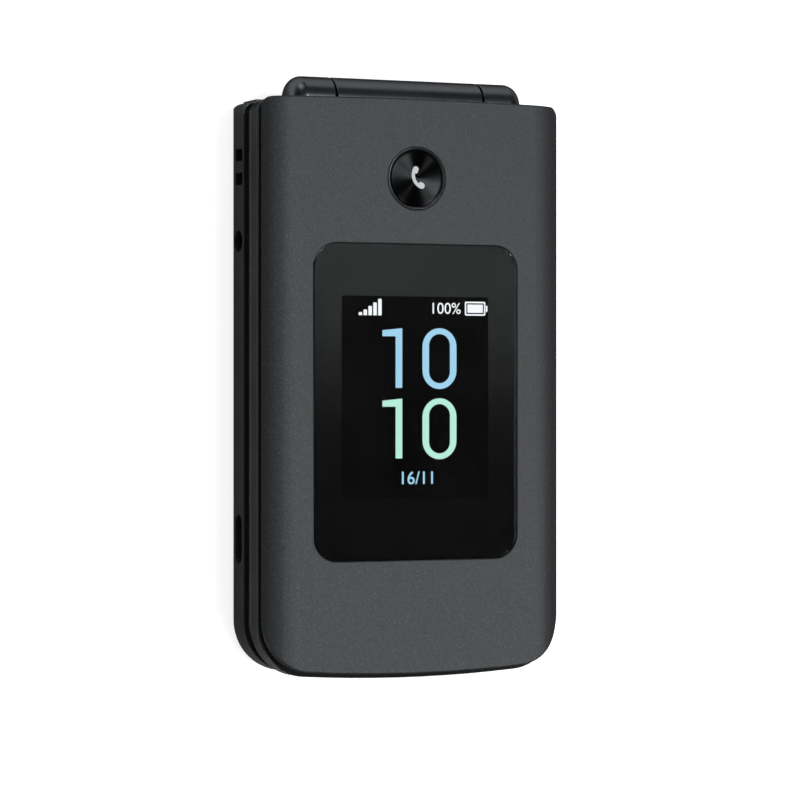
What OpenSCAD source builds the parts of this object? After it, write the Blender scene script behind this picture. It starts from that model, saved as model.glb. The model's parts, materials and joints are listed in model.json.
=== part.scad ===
// Flip phone, closed and lying on its back: X across, Y towards the hinge, Z up through the lid.
// The origin is under the middle of the closed phone, on the face that it rests on.

/* [Body] */
// Width across both halves
body_w = 57.4; // [56:0.1:64]
// Length from the free end to the back of the hinge barrel
body_l = 104.5; // [102:0.1:116]
// Thickness of the keypad half
base_t = 11; // [10.6:0.1:13]
// Thickness of the lid
lid_t = 6.13; // [6:0.01:8]
// Gap between the closed halves
lid_gap = 0.37; // [0.34:0.01:0.6]
// Radius of the curve along the free end
end_arc_r = 269; // [180:1:500]
// Corner radius at the free end
end_corner_r = 9; // [8.6:0.1:11]
// Radius of the slight curve along the hinge end
hinge_arc_r = 1000; // [700:10:2000]
// Corner radius at the hinge end
hinge_corner_r = 2.2; // [1.6:0.1:3]
// Step from the lid's free end in to the keypad half's free end
base_end = 0.4; // [0.2:0.05:0.5]
// Rounding of the edge around the back
back_round_r = 4.2; // [3:0.1:4.2]
// Radius of the rise of the back towards the hinge
back_rise_r = 70; // [60:1:120]
// Length of that rise, back from the hinge axis
back_rise_l = 18.5; // [12:0.5:19]
// Wall thickness of the keypad half's shell
wall_t = 1.2; // [1:0.05:1.25]

/* [Lid shells] */
// Wall thickness of the lid cover
cover_t = 1.1; // [0.9:0.05:1.2]
// Step from the lid frame in to the lid cover
cover_step = 0.4; // [0.3:0.05:0.5]
// Further step in to the lid cover at the free end
cover_end = 0.5; // [0.3:0.05:0.6]
// Distance that the lid cover reaches over the hinge barrel
cover_over = 0.7; // [0.4:0.05:0.8]
// Radius of the roll along the cover's long edges
roll_r = 8.4; // [8:0.1:9]
// Width of that roll
roll_w = 5.5; // [4.5:0.1:5.6]
// Height of the dark groove under the cover
groove_h = 0.6; // [0.4:0.05:0.7]
// Height of the lid frame's outer band
band_h = 3.18; // [2.9:0.01:3.3]
// Thickness of the lid frame's wall
frame_wall = 2.1; // [2:0.05:2.4]
// Thickness of the lid frame's inner plate
plate_t = 1.6; // [1.5:0.05:1.7]

/* [Lid front] */
// Width of the outer window
window_w = 38.7; // [36:0.1:41]
// Length of the outer window
window_l = 54.75; // [50:0.05:56]
// Corner radius of the outer window
window_r = 4.2; // [2:0.1:6]
// Distance from the middle of the quick call button to the window's edge
window_from_button = 11.5; // [10.5:0.1:12.5]
// Thickness of the outer window
window_t = 0.9; // [0.7:0.05:1]
// Ledge that carries the outer window
window_ledge = 0.9; // [0.6:0.05:1.2]
// Width of the window's frame beside the outer display module
display_side = 2.55; // [2.4:0.05:4]
// Width of the window's frame at the display module's ends
display_end = 4.9; // [4:0.1:7]
// Distance of the outer display's middle from the window's middle, towards the free end
display_low = 0.83; // [0:0.01:1.2]
// Distance of the quick call button from the hinge axis
button_from_hinge = 13.55; // [12.8:0.05:15]
// Radius of the quick call button
button_r = 4.85; // [4:0.05:5.2]
// Width of the trim ring round the button
ring_w = 0.42; // [0.3:0.01:0.6]
// Travel of the quick call button
button_travel = 0.35; // [0.2:0.05:0.4]

/* [Lid inside] */
// Width of the lid frame beside the main window
lens_side = 4.2; // [4:0.1:5]
// Width of the lid frame between the free end and the main window
lens_end = 9.95; // [9.6:0.05:11]
// Distance of the main window from the hinge axis
lens_from_hinge = 8.55; // [8.2:0.05:10]
// Corner radius of the main window
lens_r = 5; // [3:0.1:6]
// Thickness of the main window
lens_t = 0.7; // [0.5:0.05:0.8]
// Width of the main window's frame beside the main display module
main_side = 1.2; // [1:0.1:2]
// Width of that frame at the free end
main_end = 2.3; // [1.5:0.1:4]
// Width of that frame at the hinge end
main_hinge = 13.7; // [12:0.1:16]
// Thickness of the lid's circuit board
lid_board_t = 0.6; // [0.5:0.05:0.8]
// Radius of the rubber bumpers
bumper_r = 1.7; // [1.5:0.05:1.8]
// Distance that the bumpers stand out
bumper_out = 0.17; // [0.1:0.01:0.2]
// Width of the earpiece
ear_w = 15; // [12:0.1:16]
// Depth of the earpiece along the phone
ear_l = 6; // [5:0.1:6.4]

/* [Hinge] */
// Radius of the hinge barrel
barrel_r = 4; // [3.8:0.05:4.2]
// Distance of the barrel's ends from the phone's sides
barrel_side = 6.55; // [6:0.05:7]
// Length of the barrel's middle part, on the lid
sleeve_w = 27.9; // [26.6:0.1:28.5]
// Gap between the barrel's parts along the axis
knuckle_gap = 0.3; // [0.2:0.05:0.4]
// Gap round the barrel
barrel_gap = 0.3; // [0.25:0.05:0.4]
// Rounding of the barrel's ends
knuckle_round = 2.8; // [2:0.1:3.2]
// Bore of the barrel's middle part
sleeve_bore_r = 3; // [2.9:0.05:3.1]
// Radius of the hinge pin where it enters the keypad half
pin_r = 1.45; // [1.2:0.05:1.6]
// Radius of the hollow bush that the display cable passes through
bush_r = 2.35; // [2.2:0.05:2.4]
// Running clearance of round parts
run_clear = 0.05; // [0.03:0.01:0.08]

/* [Keypad] */
// Height of the keypad panel with its skirt
panel_h = 2.63; // [2.5:0.01:2.8]
// Step from the side wall in to the keypad panel
panel_step = 0.6; // [0.4:0.05:0.8]
// Thickness of the keypad panel's face
panel_t = 1.3; // [1.2:0.05:1.4]
// Gap round each key
key_gap = 0.2; // [0.15:0.01:0.25]
// Width of the panel beside the keys
key_side = 2.8; // [2.6:0.1:4]
// Distance of the last row of keys from the free end
key_end = 11.65; // [11.4:0.05:13]
// Distance of the first row of number keys from the middle of the navigation ring
key_from_nav = 14.1; // [14:0.1:15.5]
// Space between columns of number keys
key_space_x = 1.6; // [1.4:0.05:2.2]
// Space between rows of number keys
key_space_y = 1.8; // [1.6:0.05:2.4]
// Corner radius of the keys
key_r = 1.8; // [0.8:0.1:3]
// Distance that the keys stand out of the panel
key_out = 0.1; // [0.05:0.01:0.15]
// Radius of the keys' crowned tops
key_crown_r = 90; // [60:1:200]
// Travel of a key
key_travel = 0.3; // [0.2:0.05:0.3]
// Distance of the navigation ring from the hinge axis
nav_from_hinge = 22.95; // [22.8:0.05:24]
// Outer radius of the navigation ring
nav_r = 10; // [9:0.1:10.2]
// Radius of the OK key
ok_r = 4.6; // [4:0.05:5]
// Space between the navigation ring and the keys beside it
side_space = 2.4; // [2.3:0.1:3]
// Length of the soft keys
soft_l = 6.6; // [6:0.1:7]
// Length of the call and end keys
call_l = 7.2; // [6.6:0.1:7.4]

/* [Ports] */
// Height of the ports above the back
port_z = 5.77; // [5.6:0.01:5.9]
// Distance of the charging port from the free end
usb_from_end = 24.3; // [20:0.05:28]
// Length of the charging port's opening
usb_l = 8.4; // [8.2:0.05:8.6]
// Height of the charging port's opening
usb_h = 2.76; // [2.6:0.02:2.9]
// Distance of the headphone jack from the hinge axis
jack_from_hinge = 24.5; // [23:0.05:26]
// Radius of the headphone jack's bore
jack_r = 1.8; // [1.75:0.01:1.85]
// Distance of the strap holes from the hinge axis
strap_from_hinge = 11.65; // [11:0.05:13]
// Distance between the two strap holes
strap_pitch = 4.13; // [3.8:0.01:4.4]
// Length of a strap hole
strap_l = 2.05; // [1.6:0.05:2.4]
// Height of a strap hole
strap_h = 2.9; // [2.4:0.05:3]
// Distance of the volume rocker from the hinge axis
rocker_from_hinge = 33.25; // [30:0.05:36]
// Length of the volume rocker
rocker_l = 16; // [12:0.1:18]
// Height of the volume rocker
rocker_h = 2.2; // [1.8:0.05:2.3]

/* [Back] */
// Step from the side wall in to the battery door
door_step = 5; // [4.8:0.05:5.2]
// Distance of the battery door from the hinge axis
door_from_hinge = 30.75; // [30.3:0.05:32]
// Thickness of the battery door
door_t = 1.1; // [0.9:0.05:1.1]
// Width of the shell beside the battery bay
bay_side = 10.5; // [10.4:0.1:12]
// Room in the bay for the contacts and the card holder
bay_room = 17; // [16.8:0.1:20]
// Radius of the camera's trim ring
camera_r = 3.05; // [2.6:0.05:3.4]
// Distance of the camera from the hinge axis
camera_from_hinge = 10.75; // [10.2:0.05:11.5]
// Radius of the screws' shanks
screw_r = 0.8; // [0.6:0.05:0.85]
// Radius of the screws' heads
screw_head_r = 1.6; // [1.4:0.05:1.65]
// Radius of the vibration motor's can
motor_r = 2; // [1.8:0.05:2.2]

/* [Hidden] */
$fn = 64;

fit = 0.05;    // gap of a piece that is glued or pressed into its seat
loose = 0.1;   // gap of a piece that drops into its place
far = 200;     // reach of the cutting bodies

// Levels of the keypad half
rim_z = base_t - panel_h;              // joint between the shell and the keypad panel
board_t = 0.8;                         // circuit board
board_top = rim_z - 0.37;              // the board lies just under the joint
board_z = board_top - board_t;
deck_t = 0.6;                          // deck over the battery
deck_top = board_z - loose;
deck_z = deck_top - deck_t;
face_z = base_t - panel_t;             // underside of the keypad panel's face
dome_film = 0.15;                      // film that carries the key domes
dome_h = 0.35;                         // height of a key dome
dome_top = board_top + dome_film + dome_h;
flange_t = 0.5;                        // collar that keeps a key in the panel
flange_w = 0.5;                        // width of that collar
key_z = face_z - 0.2 - flange_t;       // underside of the keys' collars

// Levels of the lid
lid_bottom = base_t + lid_gap;
lid_top = lid_bottom + lid_t;
band_top = lid_bottom + band_h;
cover_z = band_top + groove_h;         // lower edge of the cover
plate_top = lid_bottom + plate_t;
lens_z = lid_bottom + 0.08;            // the main window lies just below the frame's face
main_z = lens_z + lens_t + fit;
lid_board_z = plate_top + 1.13;
main_t = lid_board_z - loose - main_z; // the main display fills the room under the lid's board
lid_board_top = lid_board_z + lid_board_t;
window_z = lid_top - window_t;
outer_z = lid_board_top + loose;
under_cover = lid_top - cover_t;
lip_z = cover_z + 0.45;                // top of the frame's lip inside the cover

// Hinge axis
axis_y = body_l / 2 - barrel_r;
axis_z = base_t + lid_gap / 2;
barrel_w = body_w - 2 * barrel_side;
knuckle_x = sleeve_w / 2 + knuckle_gap;

// Centres of the outline's arcs, the same for every step inwards
arc_c = -body_l / 2 + end_arc_r;
free_cx = body_w / 2 - end_corner_r;
free_cy = arc_c - sqrt(pow(end_arc_r - end_corner_r, 2) - pow(free_cx, 2));
free_a = asin(free_cx / (end_arc_r - end_corner_r));
hinge_c = axis_y - hinge_arc_r;

// Battery bay, from the free end to the hinge end
door_y = axis_y - door_from_hinge;     // hinge-side edge of the battery door
bay_end = free_cy - 2;
bay_top = door_y - 1.2;
bay_w = body_w - 2 * bay_side;
bay_wall = 1;
bay_edge = bay_w / 2 + bay_wall;
battery_top = bay_top - bay_room;

// Keys: three columns and four rows fill the panel below the navigation ring
nav_y = axis_y - nav_from_hinge;
keys_top = nav_y - key_from_nav;
keys_end = key_end - body_l / 2;
key_w = (body_w - 2 * key_side - 2 * key_space_x) / 3;
key_l = (keys_top - keys_end - 3 * key_space_y) / 4;
key_pitch_x = key_w + key_space_x;
key_pitch_y = key_l + key_space_y;
row_y = keys_top - key_l / 2;
side_key_w = body_w / 2 - key_side - nav_r - side_space;
side_key_x = nav_r + side_space + side_key_w / 2;
soft_y = nav_y + 5.9;
call_y = nav_y - 5.6;

// Screws: between the number keys and the side keys, and beside the bay's free end
screw_x = bay_edge + screw_head_r + 0.4;
screw_y = [free_cy - 1.1, keys_top + flange_w + 0.45 + 1.5];
lid_screw_pos = [[free_cx + 1.1, free_cy - 3.8], [body_w / 2 - 3.2, axis_y - 5.05]];
boss_r = 1.9;                          // bosses of the lid's screws

// Ports, from the phone's ends
usb_y = usb_from_end - body_l / 2;
jack_y = axis_y - jack_from_hinge;
strap_y = axis_y - strap_from_hinge;
rocker_y = axis_y - rocker_from_hinge;
jack_z = port_z - 0.22;
strap_z = port_z + 0.13;
rocker_z = port_z - 0.17;
usb_depth = 6.9;                       // length of the charging port's steel shell
jack_l = 13;                           // length, width and depth of the jack's housing
jack_w = 6.3;
jack_x = -body_w / 2 + wall_t + 0.3;

// Pieces in the keypad half
mic_y = free_cy - 4.2;
camera_y = axis_y - camera_from_hinge;
camera_floor = wall_t + 0.6;
camera_box = 7.2;
speaker_l = 10.6;
speaker_w = 15;
speaker_h = 3.4;
speaker_hole_r = 0.6;
speaker_side = 8.2;                    // from the side wall to the loudspeaker
speaker_from_hinge = 19.65;
speaker_x = body_w / 2 - speaker_side - speaker_w / 2;
speaker_y = axis_y - speaker_from_hinge;
magnet_r = 3.6;                        // magnet on the back of the loudspeaker
motor_l = 10;
weight_l = 3.6;
motor_space = 2.1;                     // between the bay's wall and the motor
motor_from_bay = 8.5;                  // along the phone, from the bay's free end
motor_z = 4.3;
motor_pos = [bay_edge + motor_space + motor_r, bay_end + motor_from_bay, motor_z];
shield_l = 10.8;
shield_h = 1.75;
shield_space = 1.8;                    // between the shield and the jack, and the loudspeaker
shield_x0 = jack_x + jack_l + shield_space;
shield_x1 = speaker_x - speaker_w / 2 - shield_space - loose;
shield_y = speaker_y - 3.6;
antenna_side = 3.2;                    // step from the bay's sides in to the antenna
antenna_w = bay_w - 2 * antenna_side;
sim_side = 2.2;                        // from the bay's side to the card holder
sim_size = [bay_w / 2 - sim_side - 0.5, 12.5, 1.6];
contacts_w = 14;

// Pieces in the lid
button_y = axis_y - button_from_hinge;
window_y = button_y - window_from_button - window_l / 2;
display_y = window_y - display_low;
display_w = window_w - 2 * display_side;
display_l = window_l - 2 * display_end;
lens_top = axis_y - lens_from_hinge;
lens_w = body_w - 2 * lens_side;
lens_l = lens_top + body_l / 2 - lens_end;
lens_y = lens_top - lens_l / 2;
main_w = lens_w - 2 * main_side;
main_l = lens_l - main_end - main_hinge;
main_y = lens_y + (main_end - main_hinge) / 2;
ear_y = free_cy + cover_end - 4.2;
ear_h = 2.4;
slot_w = 9;                                                // sound slot over the earpiece
slot_l = 1.5;
lid_board_w = body_w - 13.4;
lid_board_end = main_y - main_l / 2 + 10;
lid_board_hinge = axis_y - barrel_r - 2.5;
bumper_t = 0.6;
bumper_z = lid_bottom - bumper_out;
switch_h = 0.6;                                            // height of the switch with its dome
stem_z = lid_board_top + switch_h + button_travel + fit;   // underside of the button's stem
collar_z = under_cover - loose - 0.45;                     // underside of its collar

// ---------- outlines ----------

// Rounded rectangle, about its middle
module plan(w, l, r) {
  for (x = [-1, 1], y = [-1, 1]) translate([x * (w / 2 - r), y * (l / 2 - r)]) circle(r);
  square([w, l - 2 * r], center = true);
  square([w - 2 * r, l], center = true);
}

// The free end: an arch with round corners
module free_end(in) {
  arc = end_arc_r - in;
  r = end_corner_r - in;
  k = (arc + r) / (arc - r);
  cy = free_cy - arc_c;
  translate([0, arc_c]) {
    for (s = [-1, 1]) translate([s * free_cx, cy]) circle(r);
    intersection() {
      circle(arc, $fn = 720);
      polygon([[-free_cx, cy], [free_cx, cy], [k * free_cx, k * cy], [-k * free_cx, k * cy]]);
    }
  }
}

// The hinge end: nearly straight, so its curve is made of short flats
module hinge_end(in, from) {
  half = body_w / 2 - in;
  arc = hinge_arc_r - in;
  r = max(hinge_corner_r - in, 0.4);
  a = asin((half - r) / (arc - r));
  cy = (arc - r) * cos(a);
  translate([0, hinge_c]) {
    for (s = [-1, 1]) translate([s * (half - r), cy]) circle(r);
    polygon(concat(
      [[half - r, cy], [r - half, cy]],
      [for (i = [-8:8]) arc * [sin(a * i / 8), cos(a * i / 8)]]
    ));
  }
  translate([-half, free_cy + from]) square([2 * half, hinge_c + cy - free_cy - from]);
}

// The phone seen from above, stepped in on every side, shorter by end at the free end and
// longer by over at the hinge
module outline(in = 0, end = 0, over = 0) {
  translate([0, end]) free_end(in);
  translate([0, over]) hinge_end(in, end - over);
}

module base_outline(in) outline(in, base_end);

module cover_outline(in) outline(cover_step + in, cover_end, cover_over);

module slab(z0, z1) translate([0, 0, z0]) linear_extrude(z1 - z0) children();

module box(x0, x1, y0, y1, z0, z1) translate([x0, y0, z0]) cube([x1 - x0, y1 - y0, z1 - z0]);

// Cylinder along X about the hinge axis
module on_axis(r, x0, x1) translate([x0, axis_y, axis_z]) rotate([0, 90, 0]) cylinder(r = r, h = x1 - x0);

// Pill-shaped or rectangular bar along X, through a side wall
module pill(l, h, x0, x1, y, z) translate([x0, y, z]) rotate([90, 0, 90]) linear_extrude(x1 - x0) {
  for (s = [-1, 1]) translate([s * (l - h) / 2, 0]) circle(h / 2);
  square([l - h, h], center = true);
}

// ---------- keypad half ----------

// Section of the shell from radius r0 to r1, with the rounded lower edge
module edge_section(r0, r1, in, top) {
  e = back_round_r - in;
  translate([r0, in]) square([r1 - e - r0, top - in]);
  translate([r0, in + e]) square([r1 - r0, top - in - e]);
  translate([r1 - e, in + e]) circle(e);
}

// Outer form of the keypad half, stepped in on every side
module base_form(in, top) {
  half = body_w / 2 - in;
  corner_y = free_cy + base_end;
  r = max(hinge_corner_r - in, 0.4);
  hinge_cy = hinge_c + sqrt(pow(hinge_arc_r - in - r, 2) - pow(half - r, 2));
  difference() {
    union() {
      translate([0, axis_y - in, 0]) rotate([90, 0, 0]) linear_extrude(axis_y - in - corner_y)
        for (s = [0, 1]) mirror([s, 0]) edge_section(0, half, in, top);
      for (s = [0, 1]) mirror([s, 0, 0]) translate([free_cx, corner_y, 0]) rotate([0, 0, free_a - 90])
        rotate_extrude(angle = 90 - free_a) edge_section(0, end_corner_r - in, in, top);
      translate([0, arc_c + base_end, 0]) rotate([0, 0, -90 - free_a])
        rotate_extrude(angle = 2 * free_a, $fn = 720)
          edge_section(end_arc_r - end_corner_r - 3, end_arc_r - in, in, top);
    }
    // the back rises towards the hinge
    translate([-body_w, 0, 0]) rotate([90, 0, 90]) linear_extrude(2 * body_w) difference() {
      translate([axis_y - back_rise_l, -1]) square([back_rise_l + 5, back_rise_l]);
      translate([axis_y - back_rise_l, back_rise_r]) circle(back_rise_r - in, $fn = 360);
    }
    // round corners at the hinge
    slab(-1, top + 1) for (s = [-1, 1]) translate([s * (half - r), hinge_cy]) difference() {
      translate([s > 0 ? 0 : -2 * r, 0]) square([2 * r, 6]);
      circle(r);
    }
  }
}

// Half of the barrel that belongs to the keypad half, on the right; its far end is rounded
module knuckle() {
  translate([knuckle_x, axis_y, axis_z]) rotate([0, 90, 0]) rotate_extrude() intersection() {
    l = barrel_w / 2 - knuckle_x;
    square([barrel_r, l]);
    union() {
      square([barrel_r, l - knuckle_round]);
      square([barrel_r - knuckle_round, l]);
      translate([barrel_r - knuckle_round, l - knuckle_round]) circle(knuckle_round);
    }
  }
  box(knuckle_x, barrel_w / 2 - 0.3, axis_y - barrel_r, axis_y - 0.4, deck_z, base_t);
}

module door_plan(gap = 0) intersection() {
  base_outline(door_step - gap);
  translate([-body_w, -body_l]) square([2 * body_w, body_l + door_y + gap]);
}

module base_frame() color("#2b2d2e") difference() {
  union() {
    difference() {
      base_form(0, rim_z);
      base_form(wall_t, rim_z + 1);
    }
    // ledge round the battery door, walls of the bay and the deck over it
    slab(wall_t / 2, wall_t + 0.8) door_plan(0.8);
    box(-bay_edge, bay_edge, bay_end - bay_wall, bay_top + bay_wall, wall_t / 2, deck_top);
    for (s = [-1, 1], y = screw_y) translate([s * screw_x, y, wall_t / 2])
      cylinder(r = screw_head_r + 0.6, h = deck_top - wall_t / 2);
    // cradle of the vibration motor
    box(motor_pos[0] - motor_r, motor_pos[0] + motor_r, motor_pos[1] + 1, motor_pos[1] + motor_l - 1,
        wall_t / 2, motor_pos[2] - motor_r / 2);
    for (s = [0, 1]) mirror([s, 0, 0]) knuckle();
  }
  slab(-1, wall_t) door_plan(loose);
  box(-bay_w / 2, bay_w / 2, bay_end, bay_top, -1, deck_z);
  translate(motor_pos) rotate([-90, 0, 0]) cylinder(r = motor_r + fit, h = motor_l);
  // room for the lid's part of the barrel
  on_axis(barrel_r + barrel_gap, -knuckle_x, knuckle_x);
  // bores of the barrel: blind for the pin, open inwards for the bush and the cable
  on_axis(pin_r + run_clear, 0, barrel_w / 2 - 2.4);
  on_axis(bush_r + run_clear, -barrel_w / 2 + 1.5, 0);
  box(-barrel_w / 2 + 1.5, -barrel_w / 2 + 5.5, axis_y - 3.6, axis_y, base_t - 0.9, base_t);
  box(-barrel_w / 2 + 1.5, -barrel_w / 2 + 5.5, axis_y - 3.6, axis_y - 2.2, deck_z - 1, base_t);
  box(-barrel_w / 2 + 1.5, -barrel_w / 2 + 5.5, axis_y - barrel_r - 1, axis_y - 2.2, deck_z - 1, board_top + 1);
  // screws
  for (s = [-1, 1], y = screw_y) translate([s * screw_x, y, 0]) {
    cylinder(r = screw_r + loose, h = far);
    translate([0, 0, -1]) cylinder(r = screw_head_r + loose, h = wall_t + 2.7);
  }
  // openings in the side wall
  pill(usb_l, usb_h, -body_w / 2 - 1, -body_w / 2 + wall_t + 1, usb_y, port_z);
  translate([-body_w / 2 - 1, jack_y, jack_z]) rotate([0, 90, 0]) cylinder(r = jack_r + 0.025, h = wall_t + 2);
  for (s = [-1, 1]) translate([-body_w / 2 - 1, strap_y + s * strap_pitch / 2, strap_z])
    rotate([90, 0, 90]) linear_extrude(wall_t + 2) plan(strap_l, strap_h, 0.35);
  pill(rocker_l + 2 * key_gap, rocker_h + 2 * key_gap,
    body_w / 2 - wall_t - 1, body_w / 2 + 1, rocker_y, rocker_z);
  // loudspeaker holes, camera and fingernail notch
  for (i = [-2:2], j = [-1:1]) translate([speaker_x + 2 * i, speaker_y + 2 * j, -1])
    cylinder(r = speaker_hole_r, h = wall_t + 2, $fn = 24);
  translate([0, camera_y, -1]) cylinder(r = camera_r + fit, h = board_z);
  translate([0, door_y + 0.6, -3.4]) rotate([0, 90, 0]) cylinder(r = 4.2, h = 9, center = true);
}

module key_holes() {
  for (i = [0:11]) at_key(i) plan(key_w + 2 * key_gap, key_l + 2 * key_gap, key_r + key_gap);
  translate([0, nav_y]) circle(nav_r + key_gap);
  for (s = [-1, 1]) {
    translate([s * side_key_x, soft_y]) plan(side_key_w + 2 * key_gap, soft_l + 2 * key_gap, key_r + key_gap);
    translate([s * side_key_x, call_y]) plan(side_key_w + 2 * key_gap, call_l + 2 * key_gap, key_r + key_gap);
  }
}

module keypad_panel() color("#17191b") difference() {
  union() {
    slab(face_z, base_t) base_outline(panel_step);
    slab(rim_z, face_z) difference() {
      base_outline(panel_step);
      base_outline(panel_step + 1);
    }
    for (s = [-1, 1], y = screw_y) translate([s * screw_x, y, board_top + 0.3])
      cylinder(r = 1.5, h = face_z - board_top);
  }
  slab(face_z - 1, base_t + 1) key_holes();
  for (s = [-1, 1], y = screw_y) translate([s * screw_x, y, 0]) cylinder(r = screw_r + 0.02, h = face_z + 0.5);
  on_axis(barrel_r + barrel_gap, -knuckle_x, knuckle_x);
  for (s = [0, 1]) mirror([s, 0, 0]) {
    on_axis(barrel_r + loose, knuckle_x - 0.5, barrel_w / 2 + loose);
    box(knuckle_x - 0.5, barrel_w / 2 + loose, axis_y - barrel_r - loose, axis_y + 1, rim_z - 1, base_t + 1);
  }
  // microphone hole
  translate([0, mic_y, 0]) cylinder(r = 0.5, h = far, $fn = 24);
}

module main_board() color("#1d4d35") slab(board_z, board_top) difference() {
  base_outline(wall_t + 0.3);
  translate([-body_w, axis_y - barrel_r - barrel_gap - 0.4]) square([2 * body_w, 20]);
  translate([-body_w / 2, jack_y - jack_w / 2 - 0.35])
    square([body_w / 2 + jack_x + jack_l + loose, jack_w + 0.7]);
  translate([-body_w / 2, usb_y - usb_l / 2 - 0.7]) square([wall_t + usb_depth + 0.9, usb_l + 1.4]);
  for (s = [-1, 1], y = screw_y) translate([s * screw_x, y]) circle(screw_r + 0.4);
}

// A dome under every key, four under the navigation ring
module dome_sheet() color("#c9ccd0") {
  hole_r = screw_r + 1.2;
  half = screw_x + hole_r + 0.6;
  end = keys_end + 1.8;
  slab(board_top, board_top + dome_film) difference() {
    translate([-half, end]) square([2 * half, soft_y + 3 - end]);
    for (s = [-1, 1], y = screw_y) translate([s * screw_x, y]) circle(hole_r);
  }
  for (i = [0:11]) at_key(i) dome();
  translate([0, nav_y]) dome();
  for (a = [0:90:270]) translate([7.3 * cos(a), nav_y + 7.3 * sin(a)]) dome();
  for (s = [-1, 1], y = [soft_y, call_y]) translate([s * side_key_x, y]) dome();
}

module dome() translate([0, 0, board_top + dome_film]) cylinder(r1 = 1.9, r2 = 1, h = dome_h, $fn = 32);

module shield_can() color("#b9bcc0") translate([0, shield_y, 0]) difference() {
  box(shield_x0, shield_x1, -shield_l / 2, shield_l / 2, board_z - shield_h, board_z);
  box(shield_x0 + 0.2, shield_x1 - 0.2, 0.2 - shield_l / 2, shield_l / 2 - 0.2,
    board_z - shield_h + 0.2, board_z + 1);
}

module usb_port() color("#9a9ca0") {
  x = -body_w / 2 + wall_t + loose;
  difference() {
    pill(usb_l + 0.54, usb_h + 0.44, x, x + usb_depth, usb_y, port_z);
    pill(usb_l - 0.06, usb_h - 0.2, x - 1, x + usb_depth - 0.7, usb_y, port_z);
  }
  // tongue with the contacts
  box(x + 1, x + usb_depth - 0.4, usb_y - 3.35, usb_y + 3.35, port_z - 0.35, port_z + 0.35);
}

module audio_jack() color("#151618") difference() {
  box(jack_x, jack_x + jack_l, jack_y - jack_w / 2, jack_y + jack_w / 2, jack_z - 2.35, board_top - loose);
  translate([jack_x - 1, jack_y, jack_z]) rotate([0, 90, 0]) cylinder(r = jack_r, h = jack_l);
}

module loudspeaker() color("#3a3b3d") {
  translate([speaker_x, speaker_y]) slab(wall_t + 0.25, wall_t + speaker_h) plan(speaker_w, speaker_l, 2);
  translate([speaker_x, speaker_y, wall_t + speaker_h]) cylinder(r = magnet_r, h = 0.5);
}

module camera_module() color("#232426")
  box(-camera_box / 2, camera_box / 2, camera_y - camera_box / 2, camera_y + camera_box / 2,
    camera_floor + 0.4, board_z - loose);

module camera_trim() color("#8a8d90") translate([0, camera_y, 0.12]) difference() {
  cylinder(r = camera_r, h = camera_floor + 0.2);
  translate([0, 0, -1]) cylinder(r = camera_r - 0.75, h = far);
}

module camera_lens() color("#0b0c10") translate([0, camera_y, 0.5])
  cylinder(r = camera_r - 0.75 - fit, h = 0.6);

module microphone() color("#7d8084") difference() {
  box(-1.9, 1.9, mic_y - 1.4, mic_y + 1.4, board_top, face_z - 0.3);
  translate([0, mic_y, face_z - 1]) cylinder(r = 0.4, h = 2, $fn = 24);
}

module vibration_motor() color("#b3b6ba") translate(motor_pos) rotate([-90, 0, 0]) difference() {
  cylinder(r = motor_r, h = motor_l);
  translate([0, 0, motor_l - 4]) cylinder(r = 0.45, h = 5);
}

module vibration_weight() color("#6f7275") translate(motor_pos) rotate([-90, 0, 0]) {
  translate([0, 0, motor_l - 3.5]) cylinder(r = 0.4, h = 3.5 + 0.4 + weight_l);
  translate([0, 0, motor_l + 0.4]) linear_extrude(weight_l) intersection() {
    circle(motor_r + 0.1);
    translate([-motor_r - 1, -0.6]) square([2 * motor_r + 2, motor_r + 2]);
  }
}

// Frame of the antenna beyond the bay, open in the middle
module antenna() color("#b98a4a") difference() {
  y = bay_end - bay_wall;
  box(-antenna_w / 2, antenna_w / 2, y - 3.6, y - 0.2, back_round_r / 2 + 0.4, deck_top);
  box(-antenna_w / 2 + 1.2, antenna_w / 2 - 1.2, y - 2.8, y + bay_wall, back_round_r, deck_top + 1);
}

module battery() color("#3f4a57") box(-bay_w / 2 + 0.2, bay_w / 2 - 0.2, bay_end + loose, battery_top,
  door_t + 0.2, deck_z - loose);

module battery_contacts() color("#c8a24a") {
  box(-contacts_w / 2, contacts_w / 2, battery_top + 0.7, battery_top + 2.8, deck_z - 3.2, deck_z);
  for (x = [-4, 0, 4]) box(x - 0.6, x + 0.6, battery_top, battery_top + 0.7, deck_z - 2.4, deck_z - 1);
}

// Holder of the card, open towards the battery
module sim_holder() color("#a8abb0")
  translate([sim_side - bay_w / 2, bay_top - loose - sim_size[1], deck_z - sim_size[2]]) difference() {
    cube(sim_size);
    box(0.5, sim_size[0] - 0.5, -1, sim_size[1] - 0.7, 0.4, sim_size[2] - 0.3);
  }

module base_screws() color("#8f9296")
  for (s = [-1, 1], y = screw_y) translate([s * screw_x, y, 0]) difference() {
    union() {
      translate([0, 0, wall_t + 0.9]) cylinder(r = screw_head_r, h = 0.8);
      translate([0, 0, wall_t + 1.7]) cylinder(r = screw_r, h = face_z - 0.2 - wall_t - 1.7);
    }
    translate([0, 0, wall_t]) cylinder(r = 0.7, h = 1.3, $fn = 6);
  }

// The door's finger edge meets the notch in the shell
module battery_door() color("#2b2d2e") slab(0, door_t) door_plan();

module volume_rocker() color("#222426") {
  x = body_w / 2 - wall_t - 0.3;
  pill(rocker_l, rocker_h, x, body_w / 2 - 0.05, rocker_y, rocker_z);
  pill(rocker_l + 1.2, rocker_h + 0.5, x - 0.6, x, rocker_y, rocker_z);
}

// ---------- keys ----------

module at_key(i) translate([(i % 3 - 1) * key_pitch_x, row_y - floor(i / 3) * key_pitch_y]) children();

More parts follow.
